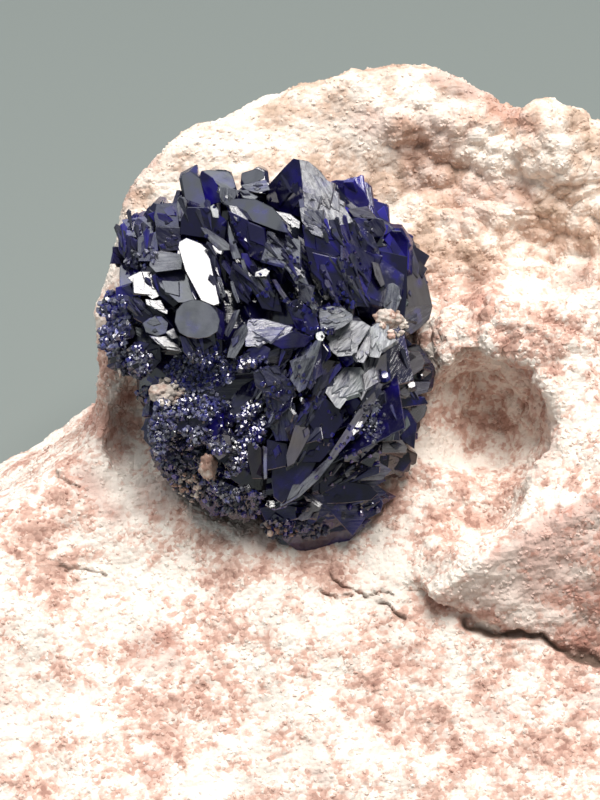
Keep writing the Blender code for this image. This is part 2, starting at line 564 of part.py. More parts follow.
def helper_collection(name):
    """A collection of cutters that is no part of the model."""
    collection = bpy.data.collections.new(name)
    collection.hide_render = True
    bpy.context.scene.collection.children.link(collection)
    return collection


def hide_helper(body):
    body.hide_render = True
    body.display_type = "WIRE"


def add_boolean(body, operation, collection):
    modifier = body.modifiers.new(collection.name, "BOOLEAN")
    modifier.operation = operation
    modifier.solver = "EXACT"
    modifier.operand_type = "COLLECTION"
    modifier.collection = collection


def swollen_rock(mesh, collection):
    """A copy of the rock a little bigger all round, which cuts the rosette's socket clearance."""
    body = bpy.data.objects.new("rock_clearance", mesh.copy())
    collection.objects.link(body)
    for corner in body.data.vertices:
        corner.co += corner.normal * SOCKET_GAP * MM
    hide_helper(body)


def stone(name, colour, roughness):
    """A plain finish, with the colour read from the specimen."""
    material = bpy.data.materials.new(name)
    material.use_nodes = True
    surface = material.node_tree.nodes["Principled BSDF"]
    surface.inputs["Base Color"].default_value = (*colour, 1.0)
    surface.inputs["Roughness"].default_value = roughness
    surface.inputs["Metallic"].default_value = 0.0
    return material


def clear_scene():
    for body in list(bpy.data.objects):
        bpy.data.objects.remove(body)


def main():
    clear_scene()
    scene = bpy.context.scene
    sandstone_finish = stone("sandstone", (0.71, 0.52, 0.43), 0.95)
    azurite_finish = stone("azurite", (0.008, 0.012, 0.12), 0.12)

    rock = bpy.data.objects.new("sandstone_matrix", sandstone_mesh())
    scene.collection.objects.link(rock)
    rock.data.materials.append(sandstone_finish)

    crystals = helper_collection("crystals")
    chance = random.Random(11)
    found = itertools.chain(named_crystals(chance), short_blades(chance), crust_crystals(chance))
    for number, points in enumerate(found):
        hide_helper(hull(f"crystal_{number}", points, crystals))

    cutters = helper_collection("cutters")
    swollen_rock(rock.data, cutters)
    for number, (name, place, radii) in enumerate(CRUMBS):
        hide_helper(hull(f"{name}_clearance", lump(place, radii, number, 0.35), cutters))
        crumb = hull(name, lump(place, radii, number), scene.collection)
        crumb.data.materials.append(sandstone_finish)

    rosette = hull("azurite_rosette", lump((0.0, -0.2, -1.2), (8.2, 9.0, 6.0), 7), scene.collection)
    rosette.data.materials.append(azurite_finish)
    add_boolean(rosette, "UNION", crystals)
    add_boolean(rosette, "DIFFERENCE", cutters)
    without_sealed_pockets(rosette)


main()
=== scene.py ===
"""Looks of an azurite specimen: a glassy, dark blue rosette in a hollow of granular pink sandstone.

Lengths are in millimetres until a mesh is made, and a mesh is in metres. Places on the show face are given
across it to the right, up it, and out of it, from the middle of the rosette, as the solids were placed.
"""

import itertools
import math
import random

import bmesh
import bpy
import numpy as np
from mathutils import Matrix, Vector
from mathutils.bvhtree import BVHTree

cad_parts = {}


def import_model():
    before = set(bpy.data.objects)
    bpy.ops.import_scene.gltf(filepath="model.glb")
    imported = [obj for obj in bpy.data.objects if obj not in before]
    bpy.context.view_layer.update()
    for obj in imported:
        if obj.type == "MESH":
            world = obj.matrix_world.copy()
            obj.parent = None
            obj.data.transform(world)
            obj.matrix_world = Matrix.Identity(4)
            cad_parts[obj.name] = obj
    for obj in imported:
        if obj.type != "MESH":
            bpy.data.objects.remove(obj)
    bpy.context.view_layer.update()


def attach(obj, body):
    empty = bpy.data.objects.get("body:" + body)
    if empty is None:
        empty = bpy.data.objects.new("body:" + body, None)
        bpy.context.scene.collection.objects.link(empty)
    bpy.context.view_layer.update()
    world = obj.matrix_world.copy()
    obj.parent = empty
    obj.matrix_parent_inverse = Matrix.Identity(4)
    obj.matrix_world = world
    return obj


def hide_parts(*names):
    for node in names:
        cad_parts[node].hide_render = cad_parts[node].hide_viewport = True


MM = 0.001

# The specimen
ROSETTE_HEIGHT = 20.0
FACE_LEAN = math.radians(30)
VIEW_DISTANCE = 200.0
ROCK_LOW = (-33.0, -32.0, -1.35)
ROCK_HIGH = (35.0, 33.0, 41.0)
ROCK_CELL = 0.45
RELIEF_ROOM = 0.3

# The photograph: its frame in millimetres on the show face, and the middle of it from the rosette's middle
FRAME_HEIGHT = 48.0
FRAME_MIDDLE = (2.1, -3.0)
SENSOR = 36.0


ACROSS = np.array((1.0, 0.0, 0.0))
UP_FACE = np.array((0.0, math.sin(FACE_LEAN), math.cos(FACE_LEAN)))
OUT = np.array((0.0, -math.cos(FACE_LEAN), math.sin(FACE_LEAN)))
ROSETTE_CENTRE = np.array((0.0, 0.0, ROSETTE_HEIGHT))


def facing(across, up, out):
    """A unit direction given in the show face's axes."""
    direction = across * ACROSS + up * UP_FACE + out * OUT
    return direction / np.linalg.norm(direction)


def spot(across, up, out):
    """The point that is seen at (across, up) on the show face from VIEW_DISTANCE, and stands out by out."""
    nearer = 1.0 - out / VIEW_DISTANCE
    return ROSETTE_CENTRE + across * nearer * ACROSS + up * nearer * UP_FACE + out * OUT


# Noise and soft blends


def lattice(corner, seed):
    """A repeatable number from -1 to 1 for each whole-numbered corner."""
    x, y, z = corner
    mixed = (x * 374761393 + y * 668265263 + z * 1440662683 + seed * 97) & 0xFFFFFFFF
    mixed = ((mixed ^ (mixed >> 13)) * 1274126177) & 0xFFFFFFFF
    return ((mixed ^ (mixed >> 16)) & 0xFFFF) / 32767.5 - 1.0


def noise(points, size, seed):
    """Smooth noise from -1 to 1 whose lumps are about size across."""
    scaled = points / size
    base = np.floor(scaled).astype(np.int64)
    part = scaled - base
    part = part * part * (3.0 - 2.0 * part)
    total = np.zeros(len(points))
    for step in itertools.product((0, 1), repeat=3):
        weight = np.prod(np.where(step, part, 1.0 - part), axis=1)
        total += weight * lattice((base + step).T, seed)
    return total


def soft_max(a, b, blend):
    mix = np.clip(0.5 + 0.5 * (a - b) / blend, 0.0, 1.0)
    return b + (a - b) * mix + blend * mix * (1.0 - mix)


def soft_min(a, b, blend):
    return -soft_max(-a, -b, blend)


def broken_block(points, faces, blend):
    """Distance outside a block whose broken faces are (point, direction) pairs."""
    distance = None
    for point, direction in faces:
        beyond = (points - point) @ (direction / np.linalg.norm(direction))
        distance = beyond if distance is None else soft_max(distance, beyond, blend)
    return distance


def hollow(points, centre, radii):
    """Distance outside an ellipsoid whose radii lie along the show face's axes."""
    away = points - centre
    scaled = np.stack([away @ ACROSS, away @ UP_FACE, away @ OUT], axis=1) / np.array(radii)
    return (np.linalg.norm(scaled, axis=1) - 1.0) * min(radii)


# The sandstone


def foot_slope(points):
    """The wide lower part, whose front slopes gently down to the toe."""
    return broken_block(
        points,
        [
            (spot(0, -11.4, 1.2), np.array((0.0, -0.5, 0.866))),
            (np.array((0.0, -25.0, 3.5)), np.array((0.1, -0.95, 0.3))),
            (np.array((-16.0, -22.0, 3.0)), np.array((-0.5, -0.8, 0.3))),
            (np.array((-25.5, 0.0, 6.0)), np.array((-0.93, -0.2, 0.3))),
            (np.array((27.0, 0.0, 8.0)), np.array((0.95, -0.1, 0.3))),
            (np.array((23.0, -20.0, 5.0)), np.array((0.6, -0.75, 0.25))),
            (np.array((0.0, 22.0, 8.0)), np.array((0.05, 0.95, 0.3))),
            (np.array((-20.0, 15.0, 5.0)), np.array((-0.6, 0.75, 0.3))),
            (spot(-12.4, -6.6, -3.6), np.array((-0.55, 0.35, 0.76))),
            (np.array((0.0, 0.0, -3.5)), np.array((0.0, 0.0, -1.0))),
        ],
        1.6,
    )


def back_wall(points):
    """The wall that rises behind the rosette to the ridge."""
    return broken_block(
        points,
        [
            (spot(0, 0, -3.6), facing(0.0, 0.17, 0.98)),
            (spot(-6.0, 12.2, -6.5), facing(-0.62, 0.79, -0.15)),
            (spot(0.5, 16.0, -6.5), facing(-0.34, 0.94, -0.15)),
            (spot(7.0, 17.8, -6.5), facing(0.0, 1.0, -0.15)),
            (spot(12.2, 16.6, -6.5), facing(0.55, 0.83, -0.15)),
            (spot(19.6, 11.4, -4.0), facing(0.78, 0.6, -0.2)),
            (spot(-9.6, 7.0, -5.0), facing(-0.98, 0.02, -0.15)),
            (np.array((26.5, 5.0, 12.0)), np.array((0.93, 0.0, 0.3))),
            (np.array((0.0, 22.5, 15.0)), np.array((0.0, 0.97, 0.24))),
            (np.array((-10.0, 18.0, 15.0)), np.array((-0.7, 0.65, 0.3))),
            (np.array((20.0, 18.5, 15.0)), np.array((0.6, 0.7, 0.35))),
            (np.array((0.0, 0.0, -3.5)), np.array((0.0, 0.0, -1.0))),
        ],
        1.2,
    )


def buttress(points):
    """The shoulder on the right, between the bowl and the pocket."""
    return broken_block(
        points,
        [
            (spot(19.0, -3.0, 1.6), facing(0.05, 0.3, 0.95)),
            (spot(15.2, 3.3, 0.4), facing(-0.45, 0.8, 0.4)),
            (spot(9.0, -3.0, -3.0), facing(-0.9, 0.0, 0.35)),
            (np.array((27.0, 0.0, 12.0)), np.array((0.95, -0.1, 0.25))),
            (spot(16.0, -12.5, 0.0), facing(0.0, -0.7, 0.3)),
            (spot(16.0, 0.0, -14.0), facing(0.0, 0.0, -1.0)),
        ],
        1.3,
    )


def ledge(points):
    """The slab that stands proud at the lower right and is undercut along its lower edge."""
    return broken_block(
        points,
        [
            (spot(15.0, -10.9, 5.0), facing(-0.5, 0.67, 0.55)),
            (spot(15.0, -13.5, 5.6), facing(-0.06, -0.22, 0.97)),
            (spot(14.6, -17.0, 5.0), facing(-0.32, -0.93, -0.25)),
            (np.array((26.5, -10.0, 8.0)), np.array((0.93, -0.2, 0.2))),
            (spot(17.0, -13.0, -6.0), facing(0.0, 0.0, -1.0)),
        ],
        0.25,
    )


# Hollows in the rock: what each is, its middle (across, up, out), its radii and how rounded its rim is
HOLLOWS = (
    ("seat of the rosette", (0.2, -0.1, 2.2), (10.3, 10.6, 6.2), 0.5),
    ("recess on the left", (-7.2, -4.4, -0.8), (2.4, 3.4, 4.0), 0.3),
    ("pocket on the right", (13.4, -4.2, 0.4), (3.5, 4.0, 5.2), 0.25),
    ("way from the pocket to the seat", (10.6, -4.6, 2.0), (3.0, 3.6, 4.6), 0.25),
    ("lit floor of the pocket", (12.2, -8.4, 2.6), (3.4, 3.2, 2.8), 0.5),
    ("bowl above the rosette", (9.6, 10.6, -2.8), (5.8, 5.2, 4.4), 0.9),
    ("bowl above the pocket", (16.8, 7.2, -1.6), (5.4, 4.6, 4.8), 0.6),
    ("nick in the ridge", (15.0, 16.2, -7.0), (1.2, 1.7, 5.0), 0.5),
)


def sandstone(points):
    """Signed distance, in millimetres, from the rough surface of the sandstone: below zero inside."""
    form = soft_min(foot_slope(points), back_wall(points), 2.0)
    form = soft_min(form, buttress(points), 1.2)
    form = soft_min(form, ledge(points), 0.25)
    form = soft_min(form, hollow(points, spot(17.6, 12.0, -6.6), (3.0, 2.9, 3.0)), 1.2)
    form = form + 0.8 * noise(points, 8.5, 1) + 0.5 * noise(points, 4.4, 2)
    uneven = 0.35 * noise(points, 3.1, 3)
    for _, place, radii, rim in HOLLOWS:
        form = soft_max(form, uneven - hollow(points, spot(*place), radii), rim)
    return form


def skin_of(field, low, high, cell):
    """Corners and four-sided faces of the surface where field is zero, one corner for each cell it crosses."""
    axes = [np.arange(a, b + cell, cell) for a, b in zip(low, high)]
    grid = np.stack(np.meshgrid(*axes, indexing="ij"), axis=-1)
    value = field(grid.reshape(-1, 3)).reshape(grid.shape[:3])
    cells = np.array(value.shape) - 1
    total, count = np.zeros((*cells, 3)), np.zeros(cells)
    edges = []
    for axis in range(3):
        near = np.take(value, range(value.shape[axis] - 1), axis)
        far = np.take(value, range(1, value.shape[axis]), axis)
        crossed = (near < 0.0) != (far < 0.0)
        edges.append((crossed, near < 0.0))
        share = np.where(crossed, near / np.where(crossed, near - far, 1.0), 0.0)
        point = np.take(grid, range(value.shape[axis] - 1), axis) + share[..., None] * cell * np.eye(3)[axis]
        for step in itertools.product((0, 1), repeat=2):
            start = np.insert(step, axis, 0)
            part = tuple(slice(s, s + n) for s, n in zip(start, cells))
            total += np.where(crossed[part][..., None], point[part], 0.0)
            count += crossed[part]
    number = np.cumsum(count.ravel() > 0).reshape(count.shape) - 1
    corners = total[count > 0] / count[count > 0][:, None]
    faces = []
    for axis, (crossed, inside) in enumerate(edges):
        found = np.argwhere(crossed)
        second, third = [a for a in range(3) if a != axis]
        found = found[(found[:, second] > 0) & (found[:, third] > 0)]
        found = found[(found[:, second] < cells[second]) & (found[:, third] < cells[third])]
        ring = []
        for back_second, back_third in ((1, 1), (0, 1), (0, 0), (1, 0)):
            cell_at = found.copy()
            cell_at[:, second] -= back_second
            cell_at[:, third] -= back_third
            ring.append(number[tuple(cell_at.T)])
        ring = np.stack(ring, axis=1)
        turned = inside[tuple(found.T)] == (axis == 1)
        ring[turned] = ring[turned][:, ::-1]
        faces.append(ring)
    return corners, np.concatenate(faces)


def seen_at(points):
    """Where points are seen on the show face: across, up, and how far out they stand."""
    away = points - ROSETTE_CENTRE
    out = away @ OUT
    farther = VIEW_DISTANCE / (VIEW_DISTANCE - out)
    return away @ ACROSS * farther, away @ UP_FACE * farther, out


def rise(value, low, high):
    """From 0 at low to 1 at high, with soft ends."""
    part = np.clip((value - low) / (high - low), 0.0, 1.0)
    return part * part * (3.0 - 2.0 * part)


def nodules(points, size, seed):
    """Rounded lumps: 1 in the middle of each, falling to creases between them."""
    scaled = points / size
    base = np.floor(scaled).astype(np.int64)
    nearest = np.full(len(points), 9.0)
    for step in itertools.product((-1, 0, 1), repeat=3):
        corner = (base + step).T
        centre = corner.T + 0.5 + 0.4 * np.stack([lattice(corner, seed + k) for k in range(3)], axis=1)
        nearest = np.minimum(nearest, ((scaled - centre) ** 2).sum(axis=1))
    return 1.0 - np.minimum(1.4 * nearest, 1.3)


# Cracks and grooves as they run across the show face: corners (across, up), half width, depth
CRACKS = (
    (((3.1, -14.3), (3.6, -14.6), (4.3, -14.9), (5.2, -14.9)), 0.07, 0.22),
    (((3.9, -13.4), (4.0, -13.9), (4.6, -14.2), (5.4, -14.4), (6.3, -14.9), (7.4, -15.4), (8.4, -16.1)), 0.08, 0.26),
    (((6.0, -14.8), (6.9, -14.6), (7.6, -14.8)), 0.06, 0.2),
    (((-12.4, -7.5), (-11.8, -7.9), (-11.1, -8.2)), 0.07, 0.16),
    (((-13.0, -12.7), (-11.9, -13.2), (-10.8, -13.1), (-9.6, -13.7)), 0.12, 0.14),
    (((11.9, -16.3), (12.9, -16.9), (14.1, -17.3), (15.4, -17.0), (16.6, -17.3), (18.2, -18.2), (20.6, -18.9)), 0.3, 0.5),
)


def crack_depth(points):
    """How deep the cracks are at each point, and how far into a crack it lies, from 0 to 1: that share also sets the
    painted shade in the crack.
    """
    across, up, out = seen_at(points)
    place = np.stack([across, up], axis=1) + 0.2 * np.stack([noise(points, 0.6, 31), noise(points, 0.6, 32)], axis=1)
    broken = rise(noise(points, 0.9, 33), -0.7, -0.1)
    depth, inside = np.zeros(len(points)), np.zeros(len(points))
    for corners, half_width, deepest in CRACKS:
        for start, end in zip(corners, corners[1:]):
            run = np.subtract(end, start)
            share = np.clip((place - start) @ run / (run @ run), 0.0, 1.0)
            away = np.linalg.norm(place - start - share[:, None] * run, axis=1)
            cut = np.exp(-((away / half_width) ** 2)) * (out > -4.0) * (broken if half_width < 0.2 else 1.0)
            depth, inside = np.maximum(depth, deepest * cut), np.maximum(inside, cut)
    return depth, inside


def in_frame(points):
    """Whether each point falls inside the photograph, with a little to spare."""
    across, up, _ = seen_at(points)
    wide = np.abs(across - FRAME_MIDDLE[0]) < 0.5 * FRAME_HEIGHT * 0.75 + 1.0
    return wide & (np.abs(up - FRAME_MIDDLE[1]) < 0.5 * FRAME_HEIGHT + 1.0) & (points[:, 2] > 0.4)


def finer(shape, wanted, cuts):
    """Divide the edges of the faces whose middles are wanted."""
    middles = np.array([face.calc_center_median() for face in shape.faces])
    facing_out = np.array([face.normal for face in shape.faces]) @ OUT > -0.25
    chosen = wanted(middles) & facing_out
    edges = {edge for face, take in zip(shape.faces, chosen) if take for edge in face.edges}
    bmesh.ops.subdivide_edges(shape, edges=list(edges), cuts=cuts, use_grid_fill=True)


def near_crack(points):
    return in_frame(points) & (crack_depth(points)[1] > 0.02)


def worn(points):
    """The sandstone before its lumps and grains are raised, a little thinner to leave room for them."""
    return sandstone(points) + RELIEF_ROOM


def rock_form():
    """The sandstone's skin in millimetres, cut flat at the base, with more corners where the photograph looks."""
    corners, faces = skin_of(worn, ROCK_LOW, ROCK_HIGH, ROCK_CELL)
    mesh = bpy.data.meshes.new("rock_form")
    mesh.from_pydata(corners.tolist(), [], faces.tolist())
    shape = bmesh.new()
    shape.from_mesh(mesh)
    everything = shape.verts[:] + shape.edges[:] + shape.faces[:]
    cut = bmesh.ops.bisect_plane(shape, geom=everything, plane_co=(0, 0, 0), plane_no=(0, 0, -1), clear_outer=True)
    rim = [item for item in cut["geom_cut"] if isinstance(item, bmesh.types.BMEdge)]
    bmesh.ops.contextual_create(shape, geom=rim)
    bmesh.ops.recalc_face_normals(shape, faces=shape.faces[:])
    finer(shape, in_frame, 1)
    finer(shape, near_crack, 1)
    shape.to_mesh(mesh)
    shape.free()
    return mesh


def crumbly(points):
    """Where the wall has weathered to nodules: 1 there and 0 on the sound stone."""
    across, up, _ = seen_at(points)
    return rise(across, 5.0, 9.0) * rise(up, -2.0, 1.0) * (1.0 - rise(up, 13.5, 16.5))


def in_pocket(points):
    """1 inside the pocket right of the rosette, and 0 outside it."""
    across, up, out = seen_at(points)
    away = np.hypot((across - 14.1) / 3.9, (up + 3.4) / 3.9)
    return (1.0 - rise(away, 0.75, 1.1)) * (out > -12.0)


# Sand grains that stand out of the skin, for each square metre
GRAINS_SEEN = 4.4e6
GRAINS_ELSEWHERE = 1.9e6

# Pieces made of grains: name, density they are sown by, radius
GRAIN_BEDS = (
    ("grains_above", "above_grains", 0.165),
    ("grains_below", "below_grains", 0.165),
    ("grains_front", "front_grains", 0.19),
    ("grains_back", "back_grains", 0.19),
)


def rough_rock():
    """Raise lumps, nodules and grains on the skin, and store where the stone is beige or rusty, and where it gets
    painted shade in cracks, in hollows and on the slab at the lower right.
    """
    mesh = rock_form()
    count = len(mesh.vertices)
    points, normals = np.empty(count * 3), np.empty(count * 3)
    mesh.vertices.foreach_get("co", points)
    mesh.vertex_normals.foreach_get("vector", normals)
    points, normals = points.reshape(-1, 3), normals.reshape(-1, 3)
    loose = crumbly(points)
    relief = (0.26 + 0.45 * loose) * noise(points, 2.4, 11) + 0.15 * noise(points, 1.1, 12)
    relief += (0.1 + 0.55 * loose) * nodules(points, 1.05, 13)
    relief += 0.1 * nodules(points, 0.42, 14) + 0.07 * noise(points, 0.5, 15)
    relief += in_pocket(points) * (0.6 * noise(points, 2.2, 16) + 0.45 * nodules(points, 1.3, 17) - 0.15)
    depth, cracked = crack_depth(points)
    relief = (relief - depth) * rise(points[:, 2], 0.0, 0.7)
    points = points + normals * relief[:, None]
    mesh.vertices.foreach_set("co", (points * MM).ravel())
    across, up, out = seen_at(points)
    beige = rise(up + 1.6 * noise(points, 4.0, 21), 1.0, 8.0)
    rust_and_shade = rust_and_shade_on(across, up, points)
    # Painted shade: darker where the relief sinks and over the nodular wall, and less so inside the pocket.
    hollow_shade = np.clip(-relief * 2.0 + 0.3 + 0.25 * loose, 0.0, 1.0) * (1.0 - 0.8 * in_pocket(points))
    # Channels: beige; rust, with painted shade on the slab; painted shade in cracks; painted shade in hollows.
    weathering_and_shade = mesh.attributes.new("weathering_and_shade", "FLOAT_COLOR", "POINT")
    weathering_and_shade.data.foreach_set("color", np.stack([beige, rust_and_shade, cracked, hollow_shade], axis=1).ravel())
    sown = rise(points[:, 2], 0.2, 0.5) * (1.0 - 0.8 * cracked)
    seen, behind = in_frame(points), points[:, 1] > 4.0
    above, front, back = up > 0.0, ~seen & ~behind, ~seen & behind
    beds = ("above", seen & above), ("below", seen & ~above), ("front", front), ("back", back)
    for name, share in beds:
        density = mesh.attributes.new(f"{name}_grains", "FLOAT", "POINT")
        crowd = GRAINS_SEEN if name in ("above", "below") else GRAINS_ELSEWHERE
        density.data.foreach_set("value", share * sown * crowd)
    mesh.update()
    return mesh


# Rusty streaks on the show face, one of them also painted shade: start and end (across, up), half width, strength
RUST_AND_SHADE_STREAKS = (
    ((10.6, 16.4), (15.8, 13.4), 0.9, 1.0),
    ((-9.3, 8.5), (-7.0, 11.2), 0.7, 1.0),
    ((-11.0, -7.6), (-9.0, -9.8), 0.8, 1.0),
    # Along the lower edge of the slab: rust, and painted shade under the slab.
    ((12.4, -15.6), (19.8, -17.4), 1.0, 1.0),
    ((-10.4, -4.4), (-8.4, -3.0), 0.6, 1.0),
)


# Edges of the slab at the lower right, whose face is stained and given painted shade: a place on each (across, up) and
# the way into the slab
LEDGE_EDGES = (
    ((9.8, -15.2), (0.65, -0.76)),
    ((16.6, -9.4), (0.29, -0.96)),
    ((10.8, -15.9), (0.19, 0.98)),
)


def ledge_stain_and_shade(across, up, points):
    """How much stain and painted shade the face of the slab at the lower right gets, most towards its upper part, and
    0 off it.
    """
    inside = np.min([(across - x) * a + (up - y) * b for (x, y), (a, b) in LEDGE_EDGES], axis=0)
    upper = rise(up + 0.4 * across, -9.5, -4.5)
    return rise(inside + 0.35 * noise(points, 0.9, 24), 0.0, 0.4) * (0.72 + 0.55 * upper)


def rust_and_shade_on(across, up, points):
    """Red-brown stain, strongest along the streaks and blotchy elsewhere; on the slab at the lower right it is partly
    painted shade.
    """
    place = np.stack([across, up], axis=1)
    stain_and_shade = 0.55 * rise(noise(points, 3.2, 22), 0.25, 0.7)
    patchy = 0.75 + 0.5 * noise(points, 1.3, 23)
    for start, end, half_width, strength in RUST_AND_SHADE_STREAKS:
        run = np.subtract(end, start)
        share = np.clip((place - start) @ run / (run @ run), 0.0, 1.0)
        away = np.linalg.norm(place - start - share[:, None] * run, axis=1)
        stain_and_shade = np.maximum(stain_and_shade, strength * patchy * np.exp(-((away / half_width) ** 2)))
    # Painted shade on the slab's face, together with its red-brown stain.
    stain_and_shade = np.maximum(stain_and_shade, patchy * ledge_stain_and_shade(across, up, points))
    return np.clip(stain_and_shade, 0.0, 1.0)


# The crystals


def corners_between(planes):
    """Corner points of the convex solid that a list of (direction, distance) planes encloses."""
    normals = np.array([direction for direction, _ in planes], float)
    lengths = np.linalg.norm(normals, axis=1)
    normals /= lengths[:, None]
    reach = np.array([distance for _, distance in planes]) / lengths
    trios = np.array(list(itertools.combinations(range(len(planes)), 3)))
    trios = trios[np.abs(np.linalg.det(normals[trios])) > 1e-4]
    points = np.linalg.solve(normals[trios], reach[trios][..., None])[..., 0]
    return points[(points @ normals.T <= reach + 1e-6).all(axis=1)]


def blade(length, width, thickness, wobble):
    """Tabular, narrowing towards its foot, with slanting rims and two-sided chisel ends."""
    rim = math.radians(30 + 12 * wobble)
    yaw_left, yaw_right = math.radians(50 + 10 * wobble), math.radians(40 - 12 * wobble)
    half = length / 2
    planes = [((0, 0, side), thickness / 2) for side in (1, -1)]
    planes += [((-0.11, side * math.cos(rim), side * math.sin(rim)), 0.37 * width) for side in (1, -1)]
    for end, slope in ((1, 0.3), (-1, 0.7)):
        planes.append(((end * math.cos(yaw_left), math.sin(yaw_left), slope), half * math.cos(yaw_left)))
        planes.append(((end * math.cos(yaw_right), -math.sin(yaw_right), slope), half * math.cos(yaw_right)))
    return planes


def plate(length, width, thickness, wobble, sides=7):
    """A thin slab whose outline is a polygon round an ellipse, with a bevelled edge."""
    planes = [((0, 0, side), thickness / 2) for side in (1, -1)]
    for step in range(sides):
        turn = 2 * math.pi * (step + 0.3 * wobble * (-1) ** step) / sides
        reach = math.hypot(length / 2 * math.cos(turn), width / 2 * math.sin(turn))
        planes.append(((math.cos(turn), math.sin(turn), 0.45), reach))
    return planes


def disc(length, width, thickness, wobble):
    """A plate with a nearly round outline."""
    return plate(length, width, thickness, 0.3 * wobble, sides=12)


def leaf(length, width, thickness, wobble):
    """Lens-shaped in outline, pointed at both ends."""
    radius = (length**2 + width**2) / (4 * width)
    planes = [((0, 0, side), thickness / 2) for side in (1, -1)]
    for side, degrees in itertools.product((1, -1), (-30, 0, 30)):
        turn = math.radians(degrees + 5 * wobble)
        reach = radius - (radius - width / 2) * math.cos(turn)
        planes.append(((math.sin(turn), side * math.cos(turn), 0.6), max(reach, 0.3 * width)))
    return planes


def spear(length, width, thickness, wobble):
    """A four-sided pyramid with a sharp ridge along its front, cut off at the foot."""
    rim = math.atan2(width, thickness)
    planes = [((-1, 0, 0), length / 2)]
    for side, slope in itertools.product((1, -1), repeat=2):
        lean = math.cos(rim) * width / (2 * length) * (1 + 0.5 * wobble * side)
        planes.append(((lean, side * math.cos(rim), slope * math.sin(rim)), lean * length / 2))
    return planes


def block(length, width, thickness, wobble):
    """A stout prism with two bevelled edges and a slanting head."""
    tilt = math.radians(18 + 14 * wobble)
    planes = [((-1, 0, 0), length / 2)]
    planes.append(((math.cos(tilt), math.sin(tilt), 0.25), length / 2 * math.cos(tilt)))
    planes.append(((math.cos(tilt), -math.sin(tilt), 0.5), length / 2))
    for side in (1, -1):
        planes.append(((0, side, 0.1 * wobble), width / 2))
        planes.append(((0, 0.1 * wobble, side), thickness / 2))
        planes.append(((0, side, width / thickness), 0.84 * width))
    return planes


# Body colours of the crystals; what a face mirrors comes on top
INK = (0.005, 0.004, 0.03)
ROYAL = (0.016, 0.009, 0.24)
VIOLET = (0.013, 0.008, 0.11)
SLATE = (0.014, 0.016, 0.028)
AZURE = (0.03, 0.035, 0.36)
UMBER = (0.022, 0.015, 0.018)
DUSK = (0.042, 0.036, 0.05)
PALE = (0.15, 0.175, 0.17)
RIME = (0.36, 0.37, 0.4)

